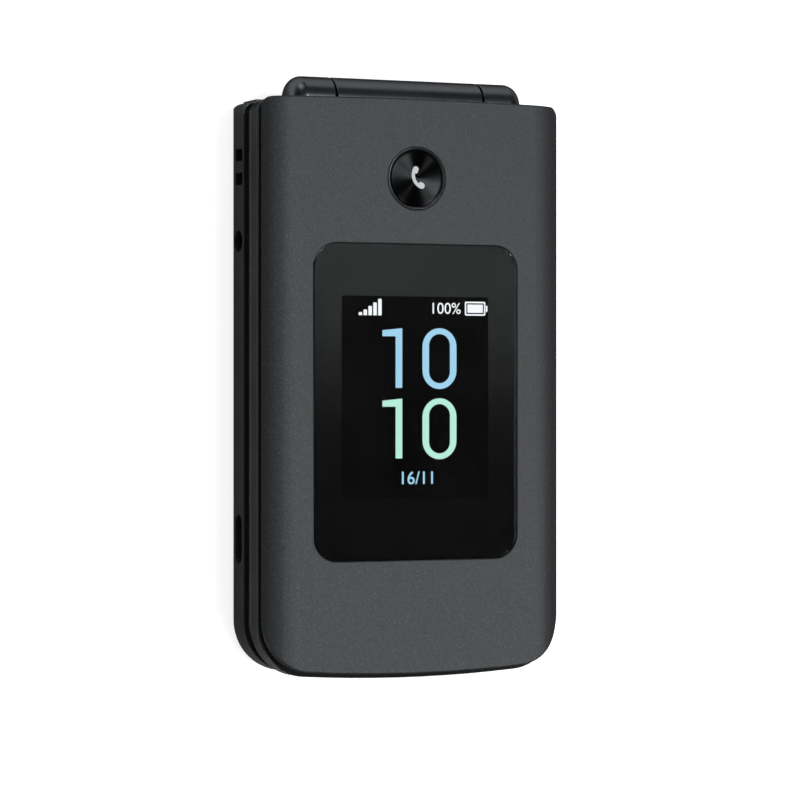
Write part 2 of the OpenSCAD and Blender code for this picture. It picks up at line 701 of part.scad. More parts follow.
// Key with a collar under the panel and a crowned top; it sits over its own dome
module key(w, l) {
  intersection() {
    slab(key_z, base_t + key_out) plan(w, l, key_r);
    translate([0, far, base_t + key_out - key_crown_r]) rotate([90, 0, 0])
      cylinder(r = key_crown_r, h = 2 * far, $fn = 360);
  }
  slab(key_z, key_z + flange_t) plan(w + 2 * flange_w, l + 2 * flange_w, key_r + flange_w);
  nub();
}

// Post that presses the dome
module nub() translate([0, 0, dome_top + key_travel + fit])
  cylinder(r = 1, h = key_z - dome_top - key_travel, $fn = 32);

module number_key(i) color("#2e3133") at_key(i) key(key_w, key_l);

module soft_key(s) color("#2e3133") translate([s * side_key_x, soft_y]) key(side_key_w, soft_l);

module call_key() color("#1f8f4e") translate([-side_key_x, call_y]) key(side_key_w, call_l);

module end_key() color("#b5302f") translate([side_key_x, call_y]) key(side_key_w, call_l);

nav_drop = 0.15; // the ring lies under the panel's face, so that it can rock under the closed lid

module nav_ring() color("#8b8f93") translate([0, nav_y, 0]) {
  difference() {
    union() {
      translate([0, 0, key_z]) cylinder(r = nav_r, h = base_t - nav_drop - key_z);
      translate([0, 0, key_z]) cylinder(r = nav_r + 0.4, h = 0.3);
    }
    cylinder(r = ok_r + key_gap, h = far);
    translate([0, 0, key_z - 1]) cylinder(r = ok_r + flange_w + 0.3, h = 1 + flange_t + 0.2);
  }
  for (a = [0:90:270]) translate([7.3 * cos(a), 7.3 * sin(a)]) nub();
}

module ok_key() color("#2e3133") translate([0, nav_y, 0]) {
  translate([0, 0, key_z]) cylinder(r = ok_r, h = base_t - nav_drop - key_z);
  translate([0, 0, key_z]) cylinder(r = ok_r + flange_w, h = flange_t - 0.1);
  nub();
}

// ---------- hinge parts ----------

can_x = sleeve_w / 2 - 0.1;
can_l = 13;
can_r = sleeve_bore_r - run_clear;
can_bore_r = can_r - 0.45;
cam_l = 1.6;

// Fixed to the keypad half: cam disc, stem through the follower and spring, and the pin in the knuckle
module hinge_pin() color("#9b9ea2") {
  on_axis(can_bore_r - run_clear, can_x - 2.9, can_x - 2.9 + cam_l);
  on_axis(pin_r, can_x - 1.4, barrel_w / 2 - 2.6);
  on_axis(0.75, can_x - can_l + 0.9, can_x - 2);
}

module hinge_can() color("#b0b3b7") difference() {
  on_axis(can_r, can_x - can_l, can_x);
  on_axis(can_bore_r, can_x - can_l + 0.6, can_x + 1);
}

module hinge_follower() color("#a4752f") difference() {
  on_axis(can_bore_r - run_clear, can_x - 5.3, can_x - 3);
  on_axis(0.8, can_x - 6, can_x);
}

spring_turns = 5;
spring_wire = 0.3;
spring_steps = 12;
spring_x0 = can_x - can_l + 0.6 + spring_wire + 0.02;
spring_x1 = can_x - 5.3 - spring_wire - 0.02;
spring_mid_r = 1.75;

function spring_point(i, j) =
  let (t = i / (spring_turns * spring_steps), a = 360 * i / spring_steps, b = 60 * j,
       r = spring_mid_r + spring_wire * cos(b))
  [spring_x0 + t * (spring_x1 - spring_x0) + spring_wire * sin(b), axis_y + r * cos(a), axis_z + r * sin(a)];

// Coil spring that loads the follower: rings of six points swept along the coil
module hinge_spring() color("#c4c7ca") {
  n = spring_turns * spring_steps;
  polyhedron(
    points = [for (i = [0:n], j = [0:5]) spring_point(i, j)],
    faces = concat(
      [[for (j = [0:5]) j]],
      [for (i = [0:n - 1], j = [0:5], k = [(j + 1) % 6]) [6 * i + j, 6 * i + 6 + j, 6 * i + 6 + k, 6 * i + k]],
      [[for (j = [5:-1:0]) 6 * n + j]]
    )
  );
}

module hinge_bush() color("#d8d9db") difference() {
  on_axis(bush_r, -barrel_w / 2 + 1.7, -sleeve_w / 2 + 4.5);
  on_axis(bush_r - 0.55, -barrel_w / 2, 0);
  box(-barrel_w / 2 + 1.5, -barrel_w / 2 + 5.5, axis_y - 3.6, axis_y, base_t - 0.9, base_t);
}

// Cable of the displays on the keypad half's side: out of the bush and down to the circuit board
module base_flex() color("#c07a2c") {
  x = -barrel_w / 2 + 1.9;
  box(x, -sleeve_w / 2 + 4.6, axis_y - 1.4, axis_y + 1.4, base_t - 0.45, base_t - 0.3);
  box(x, x + 3, axis_y - 2.95, axis_y - 1.4, base_t - 0.45, base_t - 0.3);
  box(x, x + 3, axis_y - 2.95, axis_y - 2.8, board_top + 0.2, base_t - 0.3);
  box(x, x + 3, axis_y - barrel_r - 3, axis_y - 2.8, board_top + 0.2, board_top + 0.35);
  box(x, x + 3, axis_y - barrel_r - 3, axis_y - barrel_r - 1.4, board_top, board_top + 0.9);
}

// Cable of the displays on the lid's side: a roll in the barrel and a tail to the lid's board
flex_x = -sleeve_w / 2 + 5.2;
flex_r = sleeve_bore_r - 0.4;
flex_l = sleeve_w - can_l - 7.8;
flex_tail = flex_l - 3.5;

module display_flex() color("#c07a2c") {
  difference() {
    on_axis(flex_r, flex_x, flex_x + flex_l);
    on_axis(flex_r - 0.2, 0 - far, far);
  }
  x = flex_x + 1;
  box(x, x + flex_tail, axis_y - barrel_r - 3.3, axis_y, axis_z + flex_r - 0.18, axis_z + flex_r - 0.02);
  box(x - 0.5, x + flex_tail + 0.5, axis_y - barrel_r - 6, axis_y - barrel_r - 3.3,
    axis_z + flex_r - 0.18, lid_board_z);
}

// ---------- lid ----------

// Section across the lid: flat face with a roll along each long edge
module cover_section(in) {
  roll_x = body_w / 2 - cover_step - roll_w;
  translate([-roll_x, base_t]) square([2 * roll_x, lid_top - in - base_t]);
  for (s = [-1, 1]) translate([s * roll_x, lid_top - roll_r]) circle(roll_r - in, $fn = 128);
}

module cover_form(in, z0) intersection() {
  slab(z0, lid_top + 1) cover_outline(in);
  translate([0, body_l, 0]) rotate([90, 0, 0]) linear_extrude(2 * body_l) cover_section(in);
}

module lid_cover() color("#4c4e51") difference() {
  union() {
    difference() {
      cover_form(0, cover_z);
      cover_form(cover_t, cover_z - 1);
      // rebate for the frame's lip
      slab(cover_z - 1, lip_z + fit) cover_outline(cover_t);
    }
    // ledge under the window, and the screw bosses
    translate([0, window_y]) slab(window_z - 0.5, lid_top - 0.3) plan(window_w + 2, window_l + 2, window_r + 1);
    intersection() {
      cover_form(cover_t / 2, plate_top);
      for (s = [-1, 1], p = lid_screw_pos) translate([s * p[0], p[1], plate_top])
        cylinder(r = boss_r, h = lid_t);
    }
  }
  translate([0, window_y]) {
    slab(window_z, lid_top + 1) plan(window_w + 2 * fit, window_l + 2 * fit, window_r + fit);
    slab(window_z - 2, lid_top)
      plan(window_w - 2 * window_ledge, window_l - 2 * window_ledge, window_r - window_ledge);
  }
  translate([0, button_y, 0]) cylinder(r = button_r + loose + ring_w + fit, h = far);
  for (s = [-1, 1], p = lid_screw_pos) translate([s * p[0], p[1], 0])
    cylinder(r = screw_r + 0.02, h = under_cover);
  on_axis(barrel_r + barrel_gap, -barrel_w / 2 - barrel_gap, barrel_w / 2 + barrel_gap);
}

module lid_frame() color("#2f3134") difference() {
  union() {
    slab(lid_bottom, band_top) difference() {
      outline();
      outline(frame_wall, cover_end);
    }
    slab(lid_bottom, plate_top) outline(frame_wall / 2);
    // lip inside the cover
    slab(band_top, lip_z) difference() {
      outline(cover_step + cover_t + fit, cover_end);
      outline(frame_wall, cover_end);
      translate([-barrel_w / 2 - 1, axis_y - 6]) square([barrel_w + 2, 12]);
    }
    // the barrel's middle part
    on_axis(barrel_r, -sleeve_w / 2, sleeve_w / 2);
    box(-sleeve_w / 2, sleeve_w / 2, axis_y - barrel_r, axis_y - 0.4, lid_bottom, axis_z + 2.5);
  }
  // main window, main display, earpiece slot
  translate([0, lens_y]) slab(lid_bottom - 1, lens_z + lens_t + fit / 2)
    plan(lens_w + 2 * fit, lens_l + 2 * fit, lens_r + fit);
  translate([0, main_y]) slab(lid_bottom - 1, far) plan(main_w + 0.3, main_l + 0.3, 1);
  translate([0, ear_y]) slab(lid_bottom - 1, far) plan(slot_w, slot_l, slot_l / 2 - 0.05);
  // barrel
  on_axis(bush_r + run_clear, -sleeve_w / 2 - 1, 0);
  on_axis(sleeve_bore_r, -sleeve_w / 2 + 2.7, sleeve_w / 2 + 1);
  box(flex_x + 0.8, flex_x + 1.2 + flex_tail, axis_y - barrel_r - 1, axis_y,
    axis_z + flex_r - 0.5, axis_z + flex_r + 0.3);
  for (s = [0, 1]) mirror([s, 0, 0]) on_axis(barrel_r + barrel_gap, sleeve_w / 2, barrel_w / 2 + barrel_gap);
  // bumpers over the screws, and room for the cover's bosses
  for (s = [-1, 1], p = lid_screw_pos) translate([s * p[0], p[1], 0]) {
    cylinder(r = bumper_r + fit, h = bumper_z + bumper_t + fit);
    cylinder(r = screw_head_r + loose, h = bumper_z + bumper_t + 0.6);
    cylinder(r = screw_r + loose, h = far);
    translate([0, 0, plate_top]) cylinder(r = boss_r + loose, h = far);
  }
}

module window_lens() color("#101214") translate([0, window_y])
  slab(window_z, lid_top) plan(window_w, window_l, window_r);

module outer_display() color("#2a2d33") translate([0, display_y])
  slab(outer_z, window_z - loose) plan(display_w, display_l, 0.6);

module button_ring() color("#3a3c3f") translate([0, button_y, 0]) rotate_extrude() {
  r0 = button_r + loose;
  polygon([[r0, lid_top - 1.1], [r0 + ring_w, lid_top - 1.1], [r0 + ring_w, lid_top], [r0, lid_top - 0.25]]);
}

module quick_call_button() color("#0f1012") translate([0, button_y, 0]) difference() {
  union() {
    translate([0, 0, collar_z]) cylinder(r = button_r, h = lid_top - 0.12 - collar_z);
    translate([0, 0, collar_z]) cylinder(r = button_r + 0.8, h = 0.45);
    translate([0, 0, stem_z]) cylinder(r = 1.4, h = collar_z - stem_z + 0.2);
  }
  // shallow dish in the face
  translate([0, 0, lid_top - 0.3 + 60]) sphere(r = 60, $fn = 180);
}

module quick_call_switch() color("#c2c5c9") {
  translate([0, button_y]) slab(lid_board_top, lid_board_top + switch_h - 0.25) plan(4.2, 4.2, 0.4);
  translate([0, button_y, lid_board_top + switch_h - 0.25]) cylinder(r1 = 1.5, r2 = 1.1, h = 0.25);
}

module lid_board() color("#1d4d35")
  box(-lid_board_w / 2, lid_board_w / 2, lid_board_end, lid_board_hinge, lid_board_z, lid_board_top);

module main_lens() color("#0d0f11") translate([0, lens_y])
  slab(lens_z, lens_z + lens_t) plan(lens_w, lens_l, lens_r);

module main_display() color("#23262b") translate([0, main_y])
  slab(main_z, main_z + main_t) plan(main_w, main_l, 0.8);

module earpiece() color("#3a3b3d") translate([0, ear_y]) {
  slab(plate_top + loose, plate_top + ear_h) plan(ear_w, ear_l, 2.6);
  slab(plate_top - 0.6, plate_top + loose) plan(slot_w - 1, slot_l - 0.4, slot_l / 2 - 0.25);
}

module lid_magnet() color("#a9acb0") translate([-13, ear_y, plate_top + fit]) cylinder(r = 2, h = 1.5);

module lid_bumpers() color("#1a1b1c") for (s = [-1, 1], p = lid_screw_pos)
  translate([s * p[0], p[1], bumper_z]) cylinder(r = bumper_r, h = bumper_t);

module lid_screws() color("#8f9296")
  for (s = [-1, 1], p = lid_screw_pos) translate([s * p[0], p[1], bumper_z]) {
    translate([0, 0, bumper_t + fit]) cylinder(r = screw_head_r, h = 0.5);
    translate([0, 0, bumper_t + fit]) cylinder(r = screw_r, h = under_cover - 2 * bumper_t - bumper_z);
  }

base_frame();
keypad_panel();
main_board();
dome_sheet();
shield_can();
usb_port();
audio_jack();
loudspeaker();
camera_module();
camera_trim();
camera_lens();
microphone();
vibration_motor();
antenna();
battery();
battery_contacts();
sim_holder();
base_screws();
hinge_pin();
hinge_bush();
base_flex();
battery_door();
vibration_weight();
volume_rocker();
nav_ring();
ok_key();
soft_key(-1);  // soft_key_left
soft_key(1);  // soft_key_right
call_key();
end_key();
number_key(0);  // key_1
number_key(1);  // key_2
number_key(2);  // key_3
number_key(3);  // key_4
number_key(4);  // key_5
number_key(5);  // key_6
number_key(6);  // key_7
number_key(7);  // key_8
number_key(8);  // key_9
number_key(9);  // key_star
number_key(10);  // key_0
number_key(11);  // key_hash
lid_cover();
lid_frame();
window_lens();
outer_display();
button_ring();
quick_call_button();
quick_call_switch();
lid_board();
main_lens();
main_display();
earpiece();
lid_magnet();
lid_bumpers();
lid_screws();
hinge_can();
hinge_spring();
hinge_follower();
display_flex();
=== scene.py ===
# %% [markdown]
# # A flip phone, piece by piece
# The phone lies closed on its back. It has two halves joined by a barrel hinge: a keypad half with the
# ports in its side, and a lid with a window over a small outer screen and one round button. The solid frame
# of the phone comes packed, in metres, and this notebook dresses it: rounded edges, paint, plastic, glass,
# printed figures and a small studio to see it in.

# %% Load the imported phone
import json
import math

import bmesh
import bpy
from mathutils import Matrix, Vector

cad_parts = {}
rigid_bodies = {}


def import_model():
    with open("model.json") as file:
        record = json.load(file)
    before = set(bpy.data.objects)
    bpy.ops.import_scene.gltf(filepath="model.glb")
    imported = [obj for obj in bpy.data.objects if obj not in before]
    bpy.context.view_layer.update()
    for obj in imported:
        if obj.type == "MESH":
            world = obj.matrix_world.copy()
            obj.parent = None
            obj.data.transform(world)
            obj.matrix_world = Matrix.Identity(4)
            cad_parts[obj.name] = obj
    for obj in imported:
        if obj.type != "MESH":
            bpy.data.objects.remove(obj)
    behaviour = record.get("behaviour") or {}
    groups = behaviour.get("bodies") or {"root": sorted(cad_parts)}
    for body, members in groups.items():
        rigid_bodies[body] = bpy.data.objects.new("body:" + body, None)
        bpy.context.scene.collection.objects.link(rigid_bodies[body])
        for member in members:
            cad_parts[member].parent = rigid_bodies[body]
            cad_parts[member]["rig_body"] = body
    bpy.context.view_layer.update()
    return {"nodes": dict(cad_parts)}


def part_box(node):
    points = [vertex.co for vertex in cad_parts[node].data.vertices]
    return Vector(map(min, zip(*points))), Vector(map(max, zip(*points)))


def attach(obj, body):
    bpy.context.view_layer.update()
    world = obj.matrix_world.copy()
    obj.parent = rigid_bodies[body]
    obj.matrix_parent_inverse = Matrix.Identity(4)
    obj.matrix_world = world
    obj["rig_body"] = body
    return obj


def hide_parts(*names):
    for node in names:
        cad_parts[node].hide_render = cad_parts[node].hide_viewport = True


for leftover in list(bpy.data.objects):
    bpy.data.objects.remove(leftover)
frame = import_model()
nodes = frame["nodes"]
MM = 0.001

# %% [markdown]
# ## Small helpers
# Sizes are written in millimetres and multiplied by MM where Blender takes them, except for the lamps and
# the floor, which are in metres. Colours are written as the hex codes that a paint shop or a web page uses,
# and turned into the linear values that light is added up in. Every shader and geometry tree is built with
# one function that adds a node, and a few short ones on top of it name the steps that come back in most
# materials.

# %% Objects and boxes
def new_object(name, data):
    """An object in the scene that shows this data."""
    made = bpy.data.objects.new(name, data)
    bpy.context.scene.collection.objects.link(made)
    return made


def box_of(node):
    """Lowest corner, highest corner and middle of a CAD node, in mm."""
    low, high = (Vector(corner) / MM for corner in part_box(node))
    return low, high, (low + high) / 2


window_low, window_high, window_middle = box_of("window_lens")
print("window in mm:", [[round(v, 2) for v in corner] for corner in (window_low, window_high)])


# %% Colours and nodes
def paint(code, factor=1.0):
    """Linear colour with alpha from an sRGB hex code such as #4c4e51, made lighter or darker by a factor."""
    parts = [int(code[i:i + 2], 16) / 255 for i in (1, 3, 5)]
    linear = [p / 12.92 if p <= 0.04045 else ((p + 0.055) / 1.055) ** 2.4 for p in parts]
    return tuple(factor * value for value in linear) + (1.0,)


def fill(node, inputs):
    """Fill a node's inputs: a socket is linked, a plain value is set on the node's own socket."""
    for socket, value in inputs.items():
        if isinstance(value, bpy.types.NodeSocket):
            node.id_data.links.new(value, node.inputs[socket])
        else:
            node.inputs[socket].default_value = value


def add(tree, kind, inputs=None, **options):
    """Add a node, set its own options and fill its inputs."""
    made = tree.nodes.new(kind)
    for option, value in options.items():
        setattr(made, option, value)
    fill(made, inputs or {})
    return made


def maths(tree, operation, *values):
    """The result of one operation on numbers."""
    return add(tree, "ShaderNodeMath", dict(enumerate(values)), operation=operation).outputs[0]


def vectors(tree, operation, *values):
    """The result of one operation on vectors, or on a vector and a scale."""
    inputs = dict(zip((0, "Scale") if operation == "SCALE" else range(3), values))
    return add(tree, "ShaderNodeVectorMath", inputs, operation=operation).outputs[0]


def ranged(tree, value, given, wanted, **options):
    """A value moved from the range given to the range wanted."""
    limits = dict(zip(("From Min", "From Max", "To Min", "To Max"), (*given, *wanted)))
    return add(tree, "ShaderNodeMapRange", {"Value": value, **limits}, **options).outputs[0]


def blended(tree, share, low, high):
    """A colour between two others."""
    return add(tree, "ShaderNodeMix", {0: share, 6: low, 7: high}, data_type="RGBA").outputs[2]


def here(tree):
    """Where a point lies on its piece, in metres."""
    return add(tree, "ShaderNodeTexCoord").outputs["Object"]


def noise(tree, place, width, detail=2.0):
    """Noise whose spots are about width mm wide."""
    spots = add(tree, "ShaderNodeTexNoise", {"Vector": place, "Scale": 1 / (width * MM), "Detail": detail})
    return spots.outputs["Fac"]


def bumped(tree, height, depth):
    """The surface's direction where a height from 0 to 1 stands for depth in mm."""
    return add(tree, "ShaderNodeBump", {"Height": height, "Distance": depth * MM}).outputs[0]


print("#4c4e51 in linear light:", [round(v, 4) for v in paint("#4c4e51")[:3]])


# %% Materials
def empty_tree(owner):
    """The emptied node tree of a new material or world."""
    owner.use_nodes = True
    owner.node_tree.nodes.clear()
    return owner.node_tree


def new_material(name, values):
    """A material with one Principled shader: returns the material, its tree and the shader."""
    material = bpy.data.materials.new(name)
    tree = empty_tree(material)
    shader = add(tree, "ShaderNodeBsdfPrincipled", values)
    add(tree, "ShaderNodeOutputMaterial", {"Surface": shader.outputs[0]})
    return material, tree, shader


# %% [markdown]
# ## The camera
# A telephoto lens from above and a little to the left shows the lid's face and the ports together, with
# almost parallel edges. A longer lens further away would flatten it more, a short one would make the near
# side swell. The camera is aimed at a point inside the phone, with the hinge at the top of the picture.

# %% Place the camera
camera_at = Vector((-240.77, -3.07, 537.20)) * MM
aim_at = Vector((-2.69, -3.81, 16.27)) * MM
back = (camera_at - aim_at).normalized()
right = Vector((0, 1, 0)).cross(back).normalized()
up = back.cross(right)
camera = new_object("camera", bpy.data.cameras.new("camera"))
camera.matrix_world = Matrix((
    (right.x, up.x, back.x, camera_at.x),
    (right.y, up.y, back.y, camera_at.y),
    (right.z, up.z, back.z, camera_at.z),
    (0, 0, 0, 1),
))
camera.data.lens = 148.27
camera.data.sensor_width = 36
camera.data.clip_start = 0.01
bpy.context.scene.camera = camera
print("camera", round(camera_at.length, 3), "m from the phone's middle")

# %% [markdown]
# ## The studio
# A pale floor takes the shadow. Three softboxes stand over the phone, each fifteen to twenty-five degrees
# off the direction in which the flat window mirrors the camera. Satin paint scatters light that far, so the
# cover glows evenly, while the window beside it stays dark: a mirror shows only what lies in its mirror
# direction. Their offsets also set the rays on the turned button. Weaker lamps do the rest: one on the left
# for the cover's rolled edge, one low behind the hinge for the highlight along the barrel, and one that
# fills the back. The floor and the backdrop look white to the camera, and the lamps stay low enough for a
# colour to come out about as it is written.

# %% Lay the floor
HALF, DROP = 3.0, 0.0001
floor_mesh = bpy.data.meshes.new("floor")
floor_mesh.from_pydata([(-HALF, -HALF, 0), (HALF, -HALF, 0), (HALF, HALF, 0), (-HALF, HALF, 0)], [],
                       [(0, 1, 2, 3)])
floor = new_object("floor", floor_mesh)
floor.location.z = -DROP
floor_paper = bpy.data.materials.new("matt_white_paper")
tree = empty_tree(floor_paper)
rays = add(tree, "ShaderNodeLightPath").outputs
# the paper glows for the camera and through glass, and a fifth as much in shiny surfaces
GLOW, MIRRORED = 0.72, 0.2
seen = maths(tree, "MAXIMUM", rays["Is Camera Ray"], rays["Is Transmission Ray"])
shown = maths(tree, "MAXIMUM", seen, maths(tree, "MULTIPLY", rays["Is Glossy Ray"], MIRRORED))
grain = add(tree, "ShaderNodeTexNoise", {"Scale": 900.0, "Detail": 3.0})
matt = add(tree, "ShaderNodeBsdfDiffuse", {"Color": ranged(tree, grain.outputs["Fac"], (0, 1), (0.78, 0.82))})
pale = add(tree, "ShaderNodeEmission", {"Color": (1, 1, 1, 1), "Strength": GLOW})
both = add(tree, "ShaderNodeAddShader", {0: matt.outputs[0], 1: pale.outputs[0]})
mixed = add(tree, "ShaderNodeMixShader", {0: shown, 1: matt.outputs[0], 2: both.outputs[0]})
add(tree, "ShaderNodeOutputMaterial", {"Surface": mixed.outputs[0]})
floor_mesh.materials.append(floor_paper)

# %% Light the room
world = bpy.data.worlds.new("studio")
bpy.context.scene.world = world
tree = empty_tree(world)
rays = add(tree, "ShaderNodeLightPath").outputs
way = add(tree, "ShaderNodeSeparateXYZ", {0: add(tree, "ShaderNodeTexCoord").outputs["Generated"]}).outputs
# what a shiny surface sees: walls, pale near the floor, that fade by 15 degrees up into a dark ceiling
wall = ranged(tree, way["Z"], (0.04, 0.26), (0.3, 0.01), interpolation_type="SMOOTHSTEP")
# the side beyond the hinge is a little lighter, so that the window's reflection fades towards the free end;
# the ink under the window has the same fade as a painted reflection
far_side = ranged(tree, way["Y"], (-0.06, 0.08), (0.0, 0.03), interpolation_type="SMOOTHSTEP")
bent = maths(tree, "MAXIMUM", rays["Is Glossy Ray"], rays["Is Transmission Ray"])
dim = maths(tree, "MULTIPLY", bent, maths(tree, "ADD", wall, far_side))
# what a matt surface gathers from the room
FILL = 0.3
gathered = maths(tree, "MULTIPLY", rays["Is Diffuse Ray"], FILL)
strength = maths(tree, "ADD", maths(tree, "ADD", dim, gathered), rays["Is Camera Ray"])
shade = add(tree, "ShaderNodeBackground", {"Color": (1, 1, 1, 1), "Strength": strength})
add(tree, "ShaderNodeOutputWorld", {"Surface": shade.outputs[0]})

# %% Hang the lamps
# square lamps that face the phone, each with its place and its width in metres and its power in watts
for name, at, width, watts in [
    ("softbox_right", (0.74, -0.28, 0.9), 0.2, 4.4), ("softbox_overhead", (0.24, 0.22, 1.15), 0.2, 3.8),
    ("softbox_front", (0.13, -0.38, 1.13), 0.2, 1.7), ("softbox_left", (-0.42, 0.0, 0.91), 0.6, 0.7),
    ("softbox_back", (0.44, 0.96, 0.22), 0.4, 0.42), ("softbox_back_left", (-0.35, 1.0, 0.38), 0.5, 1.4),
]:
    lamp = bpy.data.lights.new(name, "AREA")
    lamp.energy, lamp.size = watts, width
    holder = new_object(name, lamp)
    holder.location = at
    holder.rotation_mode = "QUATERNION"
    holder.rotation_quaternion = Vector(at).to_track_quat("Z", "Y")
bpy.context.scene.view_settings.view_transform = "Standard"

# %% [markdown]
# ## Paint and plastic
# The lid's cover is moulded ABS with a sprayed coat of graphite paint: fine aluminium flakes in a satin
# binder. The flakes could be drawn with noise, but Voronoi cells are closer to the truth, because each
# flake is one small flat mirror with its own tilt and its own brightness. Real flakes are a few hundredths
# of a millimetre long, too fine to show here, so the cells are drawn 0.14 mm wide.

# %% Graphite paint with flakes
FLAKE, LEAN = 0.14, 0.07
EDGE_TINT = (0.2, 0.2, 0.2, 1)
cover_paint, tree, shader = new_material("sprayed_graphite_paint", {
    "Metallic": 0.9, "Roughness": 0.56, "Specular Tint": EDGE_TINT})
flakes = add(tree, "ShaderNodeTexVoronoi", {"Vector": here(tree), "Scale": 1 / (FLAKE * MM)}).outputs["Color"]
split = add(tree, "ShaderNodeSeparateColor", {0: flakes}).outputs
# flakes differ by up to twelve per cent, and one in twelve catches the light
tone = ranged(tree, split["Red"], (0.0, 1.0), (0.88, 1.12))
spark = ranged(tree, split["Green"], (0.92, 1.0), (0.0, 0.12))
coat = vectors(tree, "SCALE", blended(tree, spark, paint("#46484a"), paint("#a9abae")), tone)
tilt = vectors(tree, "SUBTRACT", flakes, (0.5, 0.5, 0.5))
normal = add(tree, "ShaderNodeNewGeometry").outputs["Normal"]
leaning = vectors(tree, "MULTIPLY_ADD", tilt, (LEAN, LEAN, LEAN), normal)
fill(shader, {"Base Color": coat, "Normal": vectors(tree, "NORMALIZE", leaning)})
print("flake cells per millimetre:", round(1 / FLAKE, 1))

# %% [markdown]
# The barrel of the hinge has the same graphite colour without the flakes, a little glossier, so it shows
# one clean highlight along its length. The other housings are bare ABS, moulded against a spark-eroded
# mould: that leaves a fine matt grain of about 0.15 mm, which a bump map follows. One function makes all
# the plastics, since they differ only in colour, grain and gloss.

# %% Moulded plastics
PATCH, PATCH_GLOSS = 14, 0.05


def moulded_plastic(name, code, grain=0.15, depth=0.006, rough=0.5, shine=0.35, mottle=0.06, **more):
    """Opaque moulded plastic: colour code, grain width and depth in mm, roughness and specular level."""
    material, tree, shader = new_material(name, {"Roughness": rough, "Specular IOR Level": shine, **more})
    pores = noise(tree, here(tree), grain)
    # large soft patches where fingers have polished the grain, and a few per cent of change in colour
    patches = noise(tree, here(tree), PATCH, 3.0)
    fill(shader, {
        "Normal": bumped(tree, pores, depth),
        "Roughness": ranged(tree, patches, (0.3, 0.7), (rough - PATCH_GLOSS, rough + PATCH_GLOSS)),
        "Base Color": blended(tree, pores, paint(code, 1 - mottle), paint(code, 1 + mottle))})
    return material


barrel_paint = moulded_plastic("smooth_graphite_paint", "#595b5d", grain=0.3, depth=0.0008, rough=0.28,
                               shine=0.2, mottle=0.02, Metallic=0.95, **{"Specular Tint": EDGE_TINT})
lid_abs = moulded_plastic("grained_lid_abs", "#0f1011", rough=0.55, shine=0.12)
rim_abs = moulded_plastic("polished_rim_abs", "#141516", grain=0.3, depth=0.0005, rough=0.16, shine=0.4)
shell_abs = moulded_plastic("grained_shell_abs", "#181b1c", rough=0.6, shine=0.12)
door_abs = moulded_plastic("coarse_door_abs", "#1b1e1f", grain=0.45, depth=0.03, rough=0.6, shine=0.12)
panel_black = moulded_plastic("polished_panel_abs", "#16181a", grain=0.5, depth=0.0006, rough=0.22, shine=0.5)
key_look = {"grain": 0.2, "depth": 0.003, "rough": 0.42, "shine": 0.5}
key_abs = moulded_plastic("satin_key_polycarbonate", "#25282b", **key_look)
call_abs = moulded_plastic("satin_green_polycarbonate", "#1a7f45", **key_look)
end_abs = moulded_plastic("satin_red_polycarbonate", "#a82a2a", **key_look)
inner_black = moulded_plastic("matt_black_nylon", "#141516", grain=0.2, rough=0.6)
rocker_abs = moulded_plastic("fine_rocker_abs", "#202325", grain=0.12, depth=0.004)
natural_acetal = moulded_plastic("natural_acetal", "#d9dadb", grain=0.4, depth=0.001, rough=0.35, shine=0.5)
soft_rubber = moulded_plastic("soft_silicone_rubber", "#1a1b1c", grain=0.1, depth=0.002, rough=0.75,
                              shine=0.3)
dome_film = moulded_plastic("polyester_dome_film", "#c4c7cb", grain=1.2, depth=0.004, rough=0.3, shine=0.5)
legend_white = moulded_plastic("printed_white_ink", "#d6d9da", grain=0.12, depth=0.001, rough=0.55,
                               mottle=0.03)
icon_grey = moulded_plastic("printed_silver_ink", "#c3c5c7", grain=0.1, depth=0.001, rough=0.45)
print("plastics:", [m.name for m in bpy.data.materials if m.name != "Material"])

# %% [markdown]
# ## Metals
# Small parts are stamped, turned or sintered. All of them are a fully metallic shader, and what tells them
# apart is the direction and size of the marks that the tool left: rolling lines on sheet, fine rings on
# turned parts and grains on sintered ones. The rolling lines are a noise stretched along one axis.

# %% Bare metals
MARK_GLOSS, MARK_SHADE = 0.08, 0.86


def bare_metal(name, code, rough=0.3, marks=(1.0, 0.05, 1.0), mark=0.12, depth=0.002):
    """Metal with marks about mark mm wide, which run as lines along an axis where the factor marks is low."""
    material, tree, shader = new_material(name, {"Metallic": 1.0, "Roughness": rough})
    along = add(tree, "ShaderNodeMapping", {"Vector": here(tree), "Scale": marks})
    lines = noise(tree, along.outputs[0], mark, 3.0)
    fill(shader, {
        "Normal": bumped(tree, lines, depth),
        "Roughness": ranged(tree, lines, (0.0, 1.0), (rough - MARK_GLOSS, rough + MARK_GLOSS)),
        "Base Color": blended(tree, lines, paint(code, MARK_SHADE), paint(code))})
    return material


EVEN, CROSSWISE = (1, 1, 1), (0.1, 1, 1)
rolled_steel = bare_metal("rolled_stainless_steel", "#c3c5c8")
plated_steel = bare_metal("nickel_plated_steel", "#cfcdc8", rough=0.22, marks=EVEN, mark=0.3, depth=0.0005)
spring_steel = bare_metal("drawn_spring_steel", "#b9bbbe", rough=0.28, marks=CROSSWISE)
contact_gold = bare_metal("gold_plated_contacts", "#e8c878", rough=0.2, marks=CROSSWISE, mark=0.08,
                          depth=0.001)
sintered_bronze = bare_metal("sintered_bronze", "#b98a4a", rough=0.45, marks=EVEN, mark=0.08, depth=0.01)
satin_chrome = bare_metal("satin_chromed_plastic", "#9da1a5", rough=0.3, marks=EVEN, mark=0.1, depth=0.0006)
trim_metal = bare_metal("dark_anodised_aluminium", "#55585c", rough=0.34, marks=EVEN, mark=0.08, depth=0.0004)
print("metals:", [m.name for m in bpy.data.materials if m.node_tree and "steel" in m.name])

